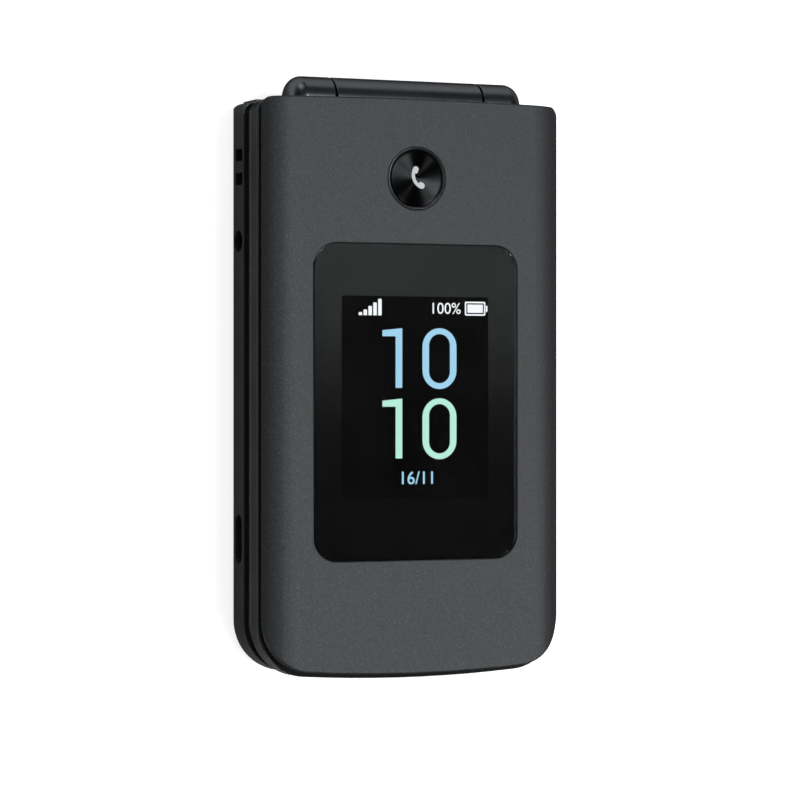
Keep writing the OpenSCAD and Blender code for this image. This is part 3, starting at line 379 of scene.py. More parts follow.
# %% [markdown]
# The round button is black anodised aluminium, faced on a lathe. Its grooves run in rings that are much too
# fine to see, but they stretch every highlight at right angles to themselves, so that lamps show as rays
# from the centre. Drawing the rays would freeze them in place; an anisotropic shader whose tangent points
# away from the axis lets them turn with the light. The tangent is worked out from the place on the button,
# then turned with the lid.

# %% Turned black aluminium
button_middle = box_of("quick_call_button")[2]
turned_black, tree, shader = new_material("turned_black_aluminium", {
    "Base Color": paint("#1f2021"), "Metallic": 1.0, "Roughness": 0.27, "Anisotropic": 1.0})
away = vectors(tree, "SUBTRACT", here(tree), (0.0, button_middle.y * MM, 0.0))
level_away = vectors(tree, "MULTIPLY", away, (1, 1, 0))
turning = add(tree, "ShaderNodeVectorTransform", {0: vectors(tree, "NORMALIZE", level_away)},
              vector_type="VECTOR", convert_from="OBJECT", convert_to="WORLD")
# one ring every 0.12 mm, drawn coarser than the real cut so that it can show
RING, RING_DEPTH = 0.12, 0.0003
radius = add(tree, "ShaderNodeVectorMath", {0: level_away}, operation="LENGTH").outputs["Value"]
wave = maths(tree, "SINE", maths(tree, "MULTIPLY", radius, 2 * math.pi / (RING * MM)))
fill(shader, {"Tangent": turning.outputs[0], "Normal": bumped(tree, wave, RING_DEPTH)})
print("button centre in mm:", [round(v, 2) for v in button_middle])

# %% [markdown]
# ## Clear plastic, glass and print
# The window is cast acrylic, clear right through. Its dark border is ink printed on the back, as on most
# phones, so the border is a separate thin piece under the window. Clear plastic throws almost no shadow,
# but a path tracer would count it as solid for light that comes from a lamp, so shadow rays are let
# through.

# %% Clear and lit materials
WIPE, WIPE_GLOSS = 6, 0.03
PIXEL = 0.22


def clear_plastic(name, code, ior, rough=0.02):
    """Transparent material with faint wiping marks, through which lamps still light what lies below."""
    material, tree, shader = new_material(name, {"Base Color": paint(code), "Roughness": rough, "IOR": ior,
                                                 "Transmission Weight": 1.0})
    wiped = noise(tree, here(tree), WIPE, 4.0)
    fill(shader, {"Roughness": ranged(tree, wiped, (0.35, 0.75), (rough, rough + WIPE_GLOSS))})
    passing = add(tree, "ShaderNodeBsdfTransparent", {"Color": (0.92, 0.92, 0.92, 1)})
    shadow = add(tree, "ShaderNodeLightPath").outputs["Is Shadow Ray"]
    either = add(tree, "ShaderNodeMixShader", {0: shadow, 1: shader.outputs[0], 2: passing.outputs[0]})
    fill(next(n for n in tree.nodes if n.type == "OUTPUT_MATERIAL"), {"Surface": either.outputs[0]})
    return material


def glowing(name, code, strength):
    """Lit pixels of one colour, in columns 0.22 mm apart with dimmer gaps, as on a small colour display."""
    material = bpy.data.materials.new(name)
    tree = empty_tree(material)
    cells = vectors(tree, "SCALE", here(tree), 1 / (PIXEL * MM))
    within = add(tree, "ShaderNodeSeparateXYZ", {0: vectors(tree, "FRACTION", cells)}).outputs["X"]
    off_middle = maths(tree, "ABSOLUTE", maths(tree, "SUBTRACT", within, 0.5))
    level = ranged(tree, off_middle, (0.38, 0.5), (strength, strength * 0.9))
    light = add(tree, "ShaderNodeEmission", {"Color": paint(code), "Strength": level})
    add(tree, "ShaderNodeOutputMaterial", {"Surface": light.outputs[0]})
    return material


cast_acrylic = clear_plastic("cast_acrylic", "#f3f5f5", 1.49)
coated_glass = clear_plastic("coated_lens_glass", "#9fa4c8", 1.6)
hours_light = glowing("lit_pixels_blue", "#a8dbf7", 1.1)
minutes_light = glowing("lit_pixels_mint", "#c0f5e4", 1.1)
status_light = glowing("lit_pixels_white", "#f8fbfd", 1.2)
display_off = moulded_plastic("unlit_display_glass", "#020202", grain=PIXEL, depth=0.0002, rough=0.18,
                              shine=0.05)

# %% Black print with a painted reflection that fades from black to charcoal towards the hinge
PAINTED_REFLECTION_FROM, PAINTED_REFLECTION_TO = -18, 24
ink_and_painted_reflection, tree, shader = new_material("screen_printed_ink_and_painted_reflection", {"Roughness": 0.65, "Specular IOR Level": 0.02})
place = add(tree, "ShaderNodeSeparateXYZ", {0: here(tree)}).outputs
# the fade from black near the free end to charcoal towards the hinge is a painted reflection of the room, not
# a change in the ink
rise = ranged(tree, place["Y"], (PAINTED_REFLECTION_FROM * MM, PAINTED_REFLECTION_TO * MM), (0.0, 1.0), interpolation_type="SMOOTHERSTEP")
speck = ranged(tree, noise(tree, here(tree), 2), (0.0, 1.0), (0.96, 1.04))
ink_and_reflection_colour = vectors(tree, "SCALE", blended(tree, rise, paint("#030303"), paint("#262727")), speck)
fill(shader, {"Base Color": ink_and_reflection_colour})

# %% [markdown]
# ## Boards, film and wrap
# These lie inside and show only when the phone is taken apart. The circuit boards have copper traces under
# a green lacquer, drawn as the joints of a brick pattern. The flexible circuits are amber polyimide over
# copper lines half a millimetre apart, and the cell is wrapped in a film printed with broad bands.

# %% Boards, film and wrap
PROUD = 0.01


def layered(name, low, high, scale, rough, stretch=(1, 1, 1), **more):
    """A base colour with lines of a second colour, which also stand a little proud."""
    material, tree, shader = new_material(name, {"Roughness": rough, **more})
    place = add(tree, "ShaderNodeMapping", {"Vector": here(tree), "Scale": stretch})
    lines = add(tree, "ShaderNodeTexBrick", {
        "Vector": place.outputs[0], "Scale": scale / MM, "Mortar Size": 0.03, "Brick Width": 0.9,
        "Row Height": 0.22, "Mortar Smooth": 0.2}).outputs["Fac"]
    fill(shader, {"Base Color": blended(tree, lines, paint(low), paint(high)),
                  "Normal": bumped(tree, lines, PROUD)})
    return material


solder_mask = layered("green_solder_mask", "#1d5c3c", "#2f7d52", 0.6, 0.3)
polyimide = layered("amber_polyimide_film", "#b06a1c", "#d39038", 0.9, 0.25, stretch=(2.2, 0.05, 1))
cell_wrap = layered("printed_cell_wrap", "#39424e", "#59646f", 0.02, 0.35, stretch=(0.01, 1, 1), Metallic=0.4)
print("all materials:", len([m for m in bpy.data.materials if m.node_tree]))

# %% [markdown]
# ## Rounding what the mould rounds
# No moulded or machined edge is truly sharp, and the thin highlight along an edge is what tells the eye how
# big a thing is. A Bevel modifier could round the solids, but they arrive as loose triangles. So each shown
# piece is a welded copy: flat areas are joined into single faces, and the outward edges are bevelled by a
# real radius in millimetres. Weighted normals then keep the flats flat and let only the rounded strips turn
# the light.

# %% Copy a solid with its edges rounded
# the hinge's axis and just over the barrel's radius, in mm
AXIS_Y, AXIS_Z, BARREL_RADIUS = 48.25, 11.185, 4.06
# points closer than WELD become one, and edges shorter than SLIVER are dropped, in mm
WELD, SLIVER = 0.004, 0.002
# faces that turn by less than FLAT are joined, edges over SHARP are rounded, and those over CREASE stay hard
FLAT, SHARP, CREASE = (math.radians(degrees) for degrees in (0.35, 28, 34))


def in_barrel(point):
    """True for a point in mm on or inside the hinge's barrel."""
    return math.hypot(point.y - AXIS_Y, point.z - AXIS_Z) < BARREL_RADIUS


def piece_of(name, bm, *finishes):
    """The piece that an edited mesh gives, with its finishes."""
    mesh = bpy.data.meshes.new(name)
    bm.to_mesh(mesh)
    bm.free()
    for finish in finishes:
        mesh.materials.append(finish)
    return new_object(name, mesh)


def softened(node, radius, finish, barrel_finish=None, keep=None, rim=None):
    """A welded copy of a CAD node in a finish, with its outward edges rounded by radius in mm.

    barrel_finish goes on the barrel. Edges at heights within keep stay sharp, and rounded edges at heights
    within the first two values of rim get the finish that is its third."""
    bm = bmesh.new()
    bm.from_mesh(nodes[node].data)
    bmesh.ops.remove_doubles(bm, verts=bm.verts, dist=WELD * MM)
    bmesh.ops.dissolve_degenerate(bm, dist=SLIVER * MM, edges=bm.edges)
    bmesh.ops.dissolve_limit(bm, angle_limit=FLAT, verts=bm.verts, edges=bm.edges)
    chosen = [edge for edge in bm.edges if edge.is_manifold and edge.calc_face_angle_signed(0) > SHARP
              and not (keep and all(keep[0] < vert.co.z / MM < keep[1] for vert in edge.verts))]
    strips = bmesh.ops.bevel(bm, geom=chosen, offset=radius * MM, offset_type="OFFSET", segments=3,
                             profile=0.5, affect="EDGES", clamp_overlap=False, loop_slide=True)["faces"]
    for face in strips:
        if rim and rim[0] < face.calc_center_median().z / MM < rim[1]:
            face.material_index = 2
    for edge in bm.edges:
        if not edge.is_manifold or edge.calc_face_angle(0) > CREASE:
            edge.smooth = False
    for face in bm.faces:
        face.smooth = True
        if barrel_finish and in_barrel(face.calc_center_median() / MM):
            face.material_index = 1
    piece = piece_of(node + "_soft", bm, *filter(None, (finish, barrel_finish, rim and rim[2])))
    normals = piece.modifiers.new("even_normals", "WEIGHTED_NORMAL")
    normals.keep_sharp = True
    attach(piece, nodes[node]["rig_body"])
    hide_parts(node)
    return piece


# %% Round and finish the shown pieces
number_keys = ["key_" + k for k in ("1", "2", "3", "4", "5", "6", "7", "8", "9", "star", "0", "hash")]
for node, radius, finish in [
    ("lid_cover", 0.3, cover_paint), ("battery_door", 0.15, door_abs), ("keypad_panel", 0.15, panel_black),
    ("window_lens", 0.02, cast_acrylic), ("main_lens", 0.12, cast_acrylic),
    ("volume_rocker", 0.3, rocker_abs), ("nav_ring", 0.25, satin_chrome), ("ok_key", 0.25, key_abs),
    ("soft_key_left", 0.25, key_abs), ("soft_key_right", 0.25, key_abs), ("call_key", 0.25, call_abs),
    ("end_key", 0.25, end_abs), ("usb_port", 0.05, rolled_steel), ("audio_jack", 0.1, inner_black),
    *((key, 0.25, key_abs) for key in number_keys),
]:
    piece = softened(node, radius, finish)
    print(piece.name, len(piece.data.polygons), "faces")
# the lid frame's parting edge is sharp, and its upper edge is polished to a light line round the cover
softened("lid_frame", 0.25, lid_abs, barrel_paint, keep=(11.2, 11.6), rim=(14.2, 14.6, rim_abs))
softened("base_frame", 0.2, shell_abs, barrel_paint)

# %% Seat the outer window
# it rests on its ledge with a layer of ink between, so its underside is lifted by that layer, and a fine dark
# gap runs round it
INK, GAP = 0.04, 0.05
for vert in bpy.data.objects["window_lens_soft"].data.vertices:
    if vert.co.z < window_middle.z * MM:
        vert.co.z += INK * MM
    for axis in (0, 1):
        middle, reach = window_middle[axis] * MM, (window_high[axis] - window_middle[axis]) * MM
        vert.co[axis] = middle + (vert.co[axis] - middle) * (1 - GAP * MM / reach)
# the cover's ledge and walls inside the window's recess take the black ink, with its painted reflection, in
# place of the paint, so the recess shows dark round the window. These are the faces whose middles lie near
# the window's box, up to a little below its top
AROUND, UNDER, BELOW_TOP = 0.3, 0.05, 0.15
cover_mesh = bpy.data.objects["lid_cover_soft"].data
cover_mesh.materials.append(ink_and_painted_reflection)
dark_recess_faces = [face for face in cover_mesh.polygons if all(
    window_low[axis] - AROUND < face.center[axis] / MM < window_high[axis] + AROUND for axis in (0, 1))
    and window_low.z - UNDER < face.center.z / MM < window_high.z - BELOW_TOP]
for face in dark_recess_faces:
    face.material_index = 1
print("masked round the window:", len(dark_recess_faces), "faces")

# %% [markdown]
# ## Turned pieces
# The button, its trim ring and the camera's ring and lens are round, so each is a profile spun about an
# upright line. Spinning gives even faces all the way round, which a highlight on metal needs: facets of a
# few degrees would show.

# %% Spin a profile
STEPS, TURNED_CREASE = 128, math.radians(32)
# the button's face is hollow, a part of a ball of this radius, with its lowest point at this height, in mm
DISH, DISH_LOW = 60.0, 17.2


def turned(name, node, centre, profile, finish, closed=False):
    """A closed solid of revolution from (radius, height) in mm; closed joins the last point to the first."""
    bm = bmesh.new()
    rings = []
    for r, z in profile:
        angles = [2 * math.pi * i / STEPS for i in range(1 if r == 0 else STEPS)]
        rings.append([bm.verts.new(Vector((centre[0] + r * math.cos(a), centre[1] + r * math.sin(a), z)) * MM)
                      for a in angles])
    pairs = list(zip(rings, rings[1:])) + ([(rings[-1], rings[0])] if closed else [])
    for lower, upper in pairs:
        for i in range(STEPS):
            j = (i + 1) % STEPS
            corners = (lower[i % len(lower)], lower[j % len(lower)],
                       upper[j % len(upper)], upper[i % len(upper)])
            bm.faces.new(list(dict.fromkeys(corners)))
    bmesh.ops.recalc_face_normals(bm, faces=bm.faces)
    for face in bm.faces:
        face.smooth = True
    for edge in bm.edges:
        if edge.calc_face_angle(0) > TURNED_CREASE:
            edge.smooth = False
    piece = piece_of(name, bm, finish)
    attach(piece, nodes[node]["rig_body"])
    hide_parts(node)
    print(name, len(piece.data.polygons), "faces")


def dished(x, y=0.0):
    """How far the button's hollow face rises from its lowest point, in mm."""
    return DISH - math.sqrt(DISH ** 2 - x * x - y * y)


button_centre = (0.0, button_middle.y)
dish = [(r, DISH_LOW + dished(r)) for r in (0, 0.6, 1.2, 1.8, 2.4, 3.0, 3.6, 4.1, 4.55)]
turned("button_disc", "quick_call_button", button_centre, dish + [
    (4.68, 17.37), (4.78, 17.34), (4.84, 17.28), (4.85, 17.2), (4.85, 16.3), (5.65, 16.3), (5.65, 15.85),
    (1.4, 15.85), (1.4, 15.7), (0, 15.7)], turned_black)
turned("trim_ring", "button_ring", button_centre, [
    (4.95, 16.4), (5.37, 16.4), (5.37, 17.44), (5.34, 17.49), (5.29, 17.495), (5.1, 17.38), (4.99, 17.3),
    (4.95, 17.24)], trim_metal, closed=True)
camera_centre = (0.0, 37.5)
turned("camera_ring", "camera_trim", camera_centre, [
    (2.3, 2.12), (3.05, 2.12), (3.05, 0.22), (3.0, 0.14), (2.92, 0.12), (2.62, 0.16), (2.38, 0.34),
    (2.3, 0.46)], trim_metal, closed=True)
turned("camera_glass", "camera_lens", camera_centre, [
    (0, 0.5), (0.8, 0.52), (1.5, 0.58), (2.05, 0.68), (2.2, 0.73), (2.25, 0.8), (2.25, 1.1), (0, 1.1)],
    coated_glass)

# %% [markdown]
# ## Finishes for the solids that stay
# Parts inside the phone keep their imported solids, whose shapes are right as they are. Each gets the finish
# of what it is made of, through its own material slots.

# %% Finish the inner parts
for finish, names in [
    (rolled_steel, ["shield_can", "sim_holder", "microphone", "vibration_motor", "lid_magnet"]),
    (plated_steel, ["base_screws", "lid_screws", "hinge_pin", "hinge_can", "quick_call_switch",
                    "vibration_weight"]),
    (contact_gold, ["battery_contacts", "antenna"]), (sintered_bronze, ["hinge_follower"]),
    (inner_black, ["loudspeaker", "camera_module", "earpiece"]), (natural_acetal, ["hinge_bush"]),
    (polyimide, ["base_flex", "display_flex"]), (solder_mask, ["main_board", "lid_board"]),
    (cell_wrap, ["battery"]), (dome_film, ["dome_sheet"]), (soft_rubber, ["lid_bumpers"]),
    (display_off, ["outer_display", "main_display"]), (spring_steel, ["hinge_spring"]),
]:
    for node in names:
        for slot in nodes[node].material_slots:
            slot.material = finish
    print(finish.name, names)

# %% [markdown]
# ## Thin plates
# Ink, lit pixels and printed legends are all thin plates cut to an outline. A filled curve does this well:
# an outline inside another becomes a hole, and letters are curves already. The curves are drawn in
# millimetres, made into meshes, welded, and only then put in their places.

# %% Outlines
def rounded(width, length, radius, centre=(0, 0), steps=8):
    """Points of a rectangle with round corners, steps to each corner."""
    points = []
    for sx, sy, start in ((1, 1, 0), (-1, 1, 90), (-1, -1, 180), (1, -1, 270)):
        for i in range(steps + 1):
            a = math.radians(start + 90 * i / steps)
            points.append((centre[0] + sx * (width / 2 - radius) + radius * math.cos(a),
                           centre[1] + sy * (length / 2 - radius) + radius * math.sin(a)))
    return points


def turned_by(degrees, x, y=0.0):
    """A point turned round the origin."""
    a = math.radians(degrees)
    return x * math.cos(a) - y * math.sin(a), x * math.sin(a) + y * math.cos(a)


def handset(size, lean):
    """Outline of a plain telephone handset, size mm from end to end, leaning by lean degrees.

    It is a bow about a point beside it, thinner at the neck, that reaches half_bow degrees to either side."""
    reach, neck, outer, half_bow, length, balance = 1.72, 2.28, 3.0, 52, 5.6, 2.1
    middle, half = (reach + outer) / 2, (outer - reach) / 2

    def round_end(side):
        """The earpiece's end on side 1, from the outside in, or the mouthpiece's on side -1, back out."""
        for i in range(1, 8):
            b = math.pi * i / 8
            yield turned_by(side * half_bow, middle + side * half * math.cos(b),
                            side * half * 0.9 * math.sin(b))

    inner = [(reach, half_bow), (reach, 36), (reach + 0.12, 31), (neck - 0.1, 29)]
    inner += [(neck, a) for a in range(26, -27, -4)] + [(r, -a) for r, a in reversed(inner)]
    shape = [turned_by(a, outer) for a in range(-half_bow, half_bow + 1, 4)] + list(round_end(1))
    shape += [turned_by(a, r) for r, a in inner] + list(round_end(-1))
    scale = size / length
    return [turned_by(180 + lean, scale * (x - balance), scale * y) for x, y in shape]


# %% Fill outlines and words into plates
LETTER_HEIGHT, PLATE_WELD = 0.7, 1e-4


def kept_mesh(holder):
    """The plain mesh that an object evaluates to; the object is removed."""
    mesh = bpy.data.meshes.new_from_object(holder.evaluated_get(bpy.context.evaluated_depsgraph_get()))
    bpy.data.objects.remove(holder)
    return mesh


def solid_of(curve, level):
    """Mesh of a filled curve, with its middle at the height level."""
    mesh = kept_mesh(new_object("holder", curve))
    mesh.transform(Matrix.Translation((0, 0, level)))
    return mesh


def filled(outlines, low, high):
    """A plate from low to high; an outline inside another cuts a hole."""
    curve = bpy.data.curves.new("outlines", "CURVE")
    curve.dimensions, curve.fill_mode, curve.extrude = "2D", "BOTH", (high - low) / 2
    for outline in outlines:
        spline = curve.splines.new("POLY")
        spline.points.add(len(outline) - 1)
        spline.points.foreach_set("co", [v for x, y in outline for v in (x, y, 0, 1)])
        spline.use_cyclic_u = True
    return solid_of(curve, (low + high) / 2)


def figures(words, height, centre, low, high, weight=0.0):
    """Figures as a plate, scaled to a height (but for the low asterisk) and centred on a point."""
    curve = bpy.data.curves.new("figures", "FONT")
    curve.body, curve.size, curve.extrude = words, height / LETTER_HEIGHT, (high - low) / 2
    curve.offset, curve.resolution_u = weight, 6
    mesh = solid_of(curve, 0)
    xs, ys = [v.co.x for v in mesh.vertices], [v.co.y for v in mesh.vertices]
    grow = height / (max(ys) - min(ys)) if words != "*" else 1.0
    mesh.transform(Matrix.Diagonal((grow, grow, 1, 1))
                   @ Matrix.Translation((-(min(xs) + max(xs)) / 2, -(min(ys) + max(ys)) / 2, 0)))
    mesh.transform(Matrix.Translation((*centre, (low + high) / 2)))
    return mesh


def laid(name, meshes, finish, body, slot, place=None, crown=None):
    """Weld plates into one piece, bend it over a crowned key if asked, and put it in its place on a body."""
    bm = bmesh.new()
    for mesh in meshes:
        bm.from_mesh(mesh)
    bmesh.ops.remove_doubles(bm, verts=bm.verts, dist=PLATE_WELD)
    bmesh.ops.recalc_face_normals(bm, faces=bm.faces)
    if crown:
        for vert in bm.verts:
            vert.co.z -= crown - math.sqrt(crown ** 2 - vert.co.x ** 2)
    bm.transform(Matrix.Scale(MM, 4) @ (place or Matrix()))
    piece = piece_of(name, bm, finish)
    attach(piece, body)


# %% [markdown]
# ## The outer screen
# The window's ink leaves an opening over the screen's active area, 28 by 35 mm. Behind it the screen is off
# but for the clock: hours over minutes in thin rounded figures, a date, a full battery and signal bars. The
# two tall figures are drawn from straight and round strokes, because a text font has no such narrow forms.

# %% Print the window's border and light the clock
ACTIVE, SCREEN_Y = (28.03, 35.04), -3.3
BORDER, LIT = (16.605, 16.635), (16.505, 16.515)
# the border's ink carries the painted reflection, lighter towards the hinge
laid("window_print_and_painted_reflection", [filled([
    rounded(38.56, 54.61, 4.13, window_middle.xy), rounded(*ACTIVE, 0.3, (0, SCREEN_Y), 2)], *BORDER)],
    ink_and_painted_reflection, "lid", "display_black")


def tall_one(left, top, bottom):
    """The figure 1: an upright stroke with a flat flag to its left, a little lower at its tip."""
    width, stroke, tip, flag = 3.78, 1.27, 0.38, 1.42
    right = left + width
    return [(left, top - tip), (right, top), (right, bottom), (right - stroke, bottom),
            (right - stroke, top - flag), (left, top - flag)]


def tall_zero(left, right, top, bottom):
    """Outlines of the figure 0: straight sides with round ends."""
    stroke_side, stroke_end, hair = 1.26, 1.02, 0.001
    middle, length, width = ((left + right) / 2, (top + bottom) / 2), top - bottom, right - left
    hollow = width - 2 * stroke_side
    return [rounded(width, length, width / 2 - hair, middle, 14),
            rounded(hollow, length - 2 * stroke_end, hollow / 2 - hair, middle, 12)]


for name, top, bottom, light in [
    ("hours", 8.72, -1.9, hours_light), ("minutes", -3.5, -14.15, minutes_light),
]:
    laid("clock_" + name, [filled([tall_one(-6.29, top - 0.05, bottom + 0.2)], *LIT),
                           filled(tall_zero(1.36, 7.92, top, bottom), *LIT)], light, "lid", "display_black")
laid("clock_date", [figures("16/11", 2.25, (0.4, -17.35), *LIT, weight=0.02)], hours_light, "lid",
     "display_black")
bars = [filled([rounded(0.66, tall, 0.05, (-10.45 + 0.92 * i, 10.85 + tall / 2), 2)], *LIT)
        for i, tall in enumerate((0.52, 0.98, 1.6, 2.22, 2.85))]
status_y = 12.2
cell_at = (11.55, status_y)
cell = [filled([rounded(4.0, 2.45, 0.25, cell_at, 3), rounded(3.45, 1.9, 0.12, cell_at, 3)], *LIT),
        filled([rounded(3.0, 1.45, 0.08, cell_at, 2)], *LIT),
        filled([rounded(0.3, 1.1, 0.1, (13.8, status_y), 2)], *LIT)]
laid("status_icons", bars + cell + [figures("100%", 1.95, (6.02, status_y), *LIT)], status_light, "lid",
     "display_black")

# %% [markdown]
# ## The button's symbol
# The button calls a stored number, so it has a plain handset printed on it. The print follows the shallow
# dish of the face, a few hundredths of a millimetre proud.

# %% Print the handset
icon = filled([handset(4.7, 22)], DISH_LOW - 0.02, DISH_LOW + 0.035)
for vert in icon.vertices:
    vert.co.z += dished(vert.co.x, vert.co.y)
laid("button_icon", [icon], icon_grey, "quick_call_button", "button_black",
     Matrix.Translation((*button_centre, 0)))

# %% [markdown]
# ## Keys and their legends
# Each key's figure is printed on its crowned top. The legend is cut flat, bent by the same 90 mm crown, and
# rides on its key, so it goes down with the key when it is pressed. The two call keys carry a handset, on
# the hook for the red one, the soft keys a short bar, and the ring four arrows.

# %% Print the keys
CROWN = 90.0
ON_KEY, ON_RING = (11.08, 11.125), (10.84, 10.87)


def over(key):
    """The move that brings a legend from the origin to the middle of its key."""
    middle = box_of(key)[2]
    return Matrix.Translation((middle.x, middle.y, 0))


for key, words in zip(number_keys, "123456789*0#"):
    tall = 4.6 if words != "*" else 6.0
    laid("legend_" + key[4:], [figures(words, tall, (0, 0), *ON_KEY, weight=0.06)], legend_white, key,
         "key_plastic", over(key), CROWN)
soft_bar = rounded(4.2, 0.7, 0.34, steps=5)
for key, mark, slot in [
    ("call_key", handset(4.4, 22), "call_green"), ("end_key", handset(4.8, -90), "end_red"),
    ("soft_key_left", soft_bar, "key_plastic"), ("soft_key_right", soft_bar, "key_plastic"),
]:
    laid("legend_" + key, [filled([mark], *ON_KEY)], legend_white, key, slot, over(key), CROWN)
nav_y = box_of("nav_ring")[2].y
arrows = []
for turn in range(0, 360, 90):
    corners = [turned_by(turn, *corner) for corner in ((6.7, 1.05), (6.7, -1.05), (8.1, 0.0))]
    arrows.append(filled([[(x, nav_y + y) for x, y in corners]], *ON_RING))
laid("legend_ring", arrows, panel_black, "nav_ring", "ring_silver")
laid("legend_ok", [filled([rounded(1.5, 1.5, 0.74, (0, nav_y), 8)], *ON_RING)], legend_white, "ok_key",
     "key_plastic")

# %% [markdown]
# ## The main screen
# The inner screen has the same build as the outer one, larger, and is read from the other side: its up is
# towards the free end of the lid, which stands at the top when the phone is open. So its parts are laid out
# as seen by the user, and then turned half round about the X axis. It shows a plain clock face on a blue
# fade.

# %% Print the inner border and light the screen
MAIN, MAIN_Y = (43.2, 57.6), -6.2
MAIN_BORDER, PICTURE = (12.155, 12.175), (12.187, 12.192)
turned_over = Matrix.Rotation(math.pi, 4, "X")
# the inner border's ink carries the same painted reflection, lighter towards the hinge
laid("main_print_and_painted_reflection", [filled([rounded(48.6, 81.6, 4.8, box_of("main_lens")[2].xy),
                            rounded(*MAIN, 0.3, (0, MAIN_Y), 2)], *MAIN_BORDER)], ink_and_painted_reflection, "lid",
     "display_black")

sky, tree, shader = new_material("lit_pixels_blue_fade", {"Base Color": (0, 0, 0, 1), "Roughness": 0.3,
                                                          "Emission Strength": 0.9})
place = add(tree, "ShaderNodeSeparateXYZ", {0: here(tree)}).outputs
fade = ranged(tree, place["Y"], (-35 * MM, 23 * MM), (0.0, 1.0))
fill(shader, {"Emission Color": blended(tree, fade, paint("#0b1c33"), paint("#2d6b8f"))})
laid("main_picture", [filled([rounded(*MAIN, 0.2, (0, MAIN_Y), 2)], *PICTURE)], sky, "lid", "display_black")
# heights are negative here, because the half turn about X changes their sign too
FRONT = (-12.186, -12.181)
centre_y = -MAIN_Y
laid("main_clock", [figures("10:10", 8.5, (0, centre_y + 12), *FRONT),
                    figures("16/11", 3.2, (0, centre_y + 3.5), *FRONT)],
     status_light, "lid", "display_black", turned_over)
top_y = centre_y + 26.2
top_bars = [filled([rounded(0.9, tall, 0.05, (-19.6 + 1.25 * i, top_y - 1.6 + tall / 2), 2)], *FRONT)
            for i, tall in enumerate((0.7, 1.3, 2.0, 2.7, 3.4))]
cell_at = (17.6, top_y)
top_cell = [filled([rounded(5.4, 3.0, 0.3, cell_at, 3), rounded(4.7, 2.3, 0.15, cell_at, 3)], *FRONT),
            filled([rounded(4.1, 1.7, 0.1, cell_at, 2)], *FRONT)]
soft_bars = [filled([rounded(8.0, 1.0, 0.45, (x, centre_y - 26.3), 4)], *FRONT) for x in (-15.5, 15.5)]
laid("main_icons", top_bars + top_cell + soft_bars + [figures("100%", 2.5, (10.6, top_y), *FRONT)],
     status_light, "lid", "display_black", turned_over)

# %% [markdown]
# ## What repeats
# The gauze behind the sound holes, the contacts in the charging port and the coil of the hinge's spring all
# follow a rule, so Geometry Nodes grow them from a few sizes. A modelled copy-and-paste would look the same
# but would have to be redone for every change of pitch. Each tree takes its sizes in metres, makes its
# instances real, and ends by setting the material; its result is then kept as a plain mesh.

# %% Trees and their results
def geometry_tree(name, sizes):
    """An empty tree with named inputs: returns it, its input sockets and its result sockets."""
    tree = bpy.data.node_groups.new(name, "GeometryNodeTree")
    tree.interface.new_socket("Geometry", in_out="OUTPUT", socket_type="NodeSocketGeometry")
    for label, kind in sizes.items():
        tree.interface.new_socket(label, in_out="INPUT", socket_type="NodeSocket" + kind)
    return tree, tree.nodes.new("NodeGroupInput").outputs, tree.nodes.new("NodeGroupOutput").inputs


def finished(tree, geometry, given, results):
    """End a tree: instances made real, then the finish."""
    real = add(tree, "GeometryNodeRealizeInstances", {0: geometry})
    coated = add(tree, "GeometryNodeSetMaterial", {"Geometry": real.outputs[0], "Material": given["Finish"]})
    tree.links.new(coated.outputs[0], results[0])


def grown(name, tree, sizes, body):
    """The plain mesh that a tree gives for these sizes, as a piece that rides on a body."""
    holder = new_object("holder", bpy.data.meshes.new("holder"))
    modifier = holder.modifiers.new("grow", "NODES")
    modifier.node_group = tree
    for socket in tree.interface.items_tree:
        if socket.in_out == "INPUT":
            modifier[socket.identifier] = sizes[socket.name]
    mesh = kept_mesh(holder)
    mesh.name = name
    mesh.materials.clear()
    mesh.materials.append(sizes["Finish"])
    mesh.polygons.foreach_set("material_index", [0] * len(mesh.polygons))
    piece = new_object(name, mesh)
    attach(piece, body)
    print(name, len(mesh.polygons), "faces, finish", [m.name for m in mesh.materials])
    return piece


# %% Rows of blocks: contacts and wires
row, given, results = geometry_tree("row_of_blocks", {
    "Count": "Int", "First": "Vector", "Step": "Vector", "Block": "Vector", "Finish": "Material"})
line = add(row, "GeometryNodeMeshLine", {"Count": given["Count"], "Start Location": given["First"],
                                         "Offset": given["Step"]}, mode="OFFSET")
block = add(row, "GeometryNodeMeshCube", {"Size": given["Block"]})
blocks = add(row, "GeometryNodeInstanceOnPoints", {"Points": line.outputs[0], "Instance": block.outputs[0]})
finished(row, blocks.outputs[0], given, results)


def row_of_blocks(name, count, first, step, block, finish, body):
    """A row of equal blocks, in mm."""
    grown(name, row, {"Count": count, "First": Vector(first) * MM, "Step": Vector(step) * MM,
                      "Block": Vector(block) * MM, "Finish": finish}, body)


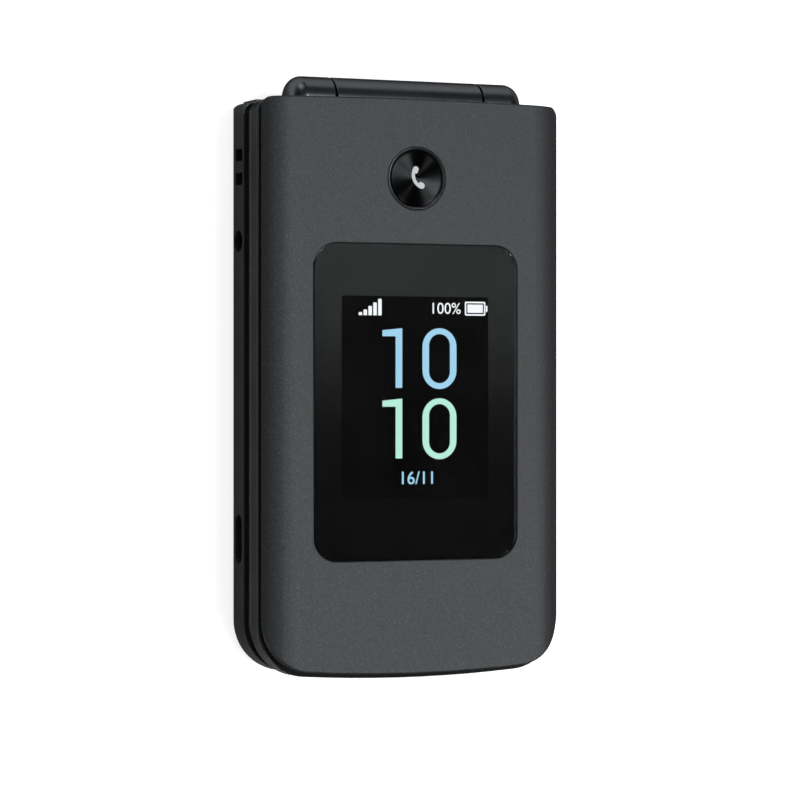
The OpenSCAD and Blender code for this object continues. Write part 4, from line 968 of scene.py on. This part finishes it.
tongue = box_of("usb_port")[2]
for side, rise in (("upper", 0.36), ("lower", -0.36)):
    row_of_blocks("usb_contacts_" + side, 12, (-24.4, tongue.y - 2.75, tongue.z + rise), (0, 0.5, 0),
                  (3.6, 0.25, 0.02), contact_gold, "base")


def gauze(name, middle, width, length, body):
    """Gauze of 0.05 mm wires, 0.2 mm apart, crossed in two layers about a point in mm."""
    pitch, wire = 0.2, 0.05
    x, y, z = middle
    across, along = int(width / pitch), int(length / pitch)
    row_of_blocks(name + "_wires_along", across + 1, (x - across * pitch / 2, y, z - wire / 2), (pitch, 0, 0),
                  (wire, length, wire), rolled_steel, body)
    row_of_blocks(name + "_wires_across", along + 1, (x, y - along * pitch / 2, z + wire / 2), (0, pitch, 0),
                  (width, wire, wire), rolled_steel, body)


gauze("speaker_gauze", (*box_of("loudspeaker")[2].xy, 1.33), 10.4, 6.4, "base")
gauze("earpiece_gauze", (0, box_of("earpiece")[2].y, 12.31), 8.8, 1.3, "lid")

# %% The hinge's spring
coil, given, results = geometry_tree("coil_spring", {
    "Turns": "Float", "Radius": "Float", "Length": "Float", "Wire": "Float", "Start": "Vector",
    "Finish": "Material"})
spiral = add(coil, "GeometryNodeCurveSpiral", {"Resolution": 48, "Rotations": given["Turns"],
                                               "Start Radius": given["Radius"], "End Radius": given["Radius"],
                                               "Height": given["Length"]})
laying = add(coil, "GeometryNodeTransform", {"Geometry": spiral.outputs[0], "Translation": given["Start"],
                                             "Rotation": (0, math.pi / 2, 0)})
wire = add(coil, "GeometryNodeCurvePrimitiveCircle", {"Resolution": 12, "Radius": given["Wire"]})
swept = add(coil, "GeometryNodeCurveToMesh", {"Curve": laying.outputs[0], "Profile Curve": wire.outputs[0],
                                              "Fill Caps": True})
soft = add(coil, "GeometryNodeSetShadeSmooth", {0: swept.outputs[0]})
finished(coil, soft.outputs[0], given, results)
spring = grown("spring_coil", coil, {
    "Turns": 5.0, "Radius": 1.75 * MM, "Length": 6.4 * MM, "Wire": 0.29 * MM,
    "Start": Vector((1.81, AXIS_Y, AXIS_Z)) * MM, "Finish": spring_steel}, "lid")
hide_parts("hinge_spring")
print("spring box in mm:", [[round(v / MM, 2) for v in spring.bound_box[i]] for i in (0, 6)])
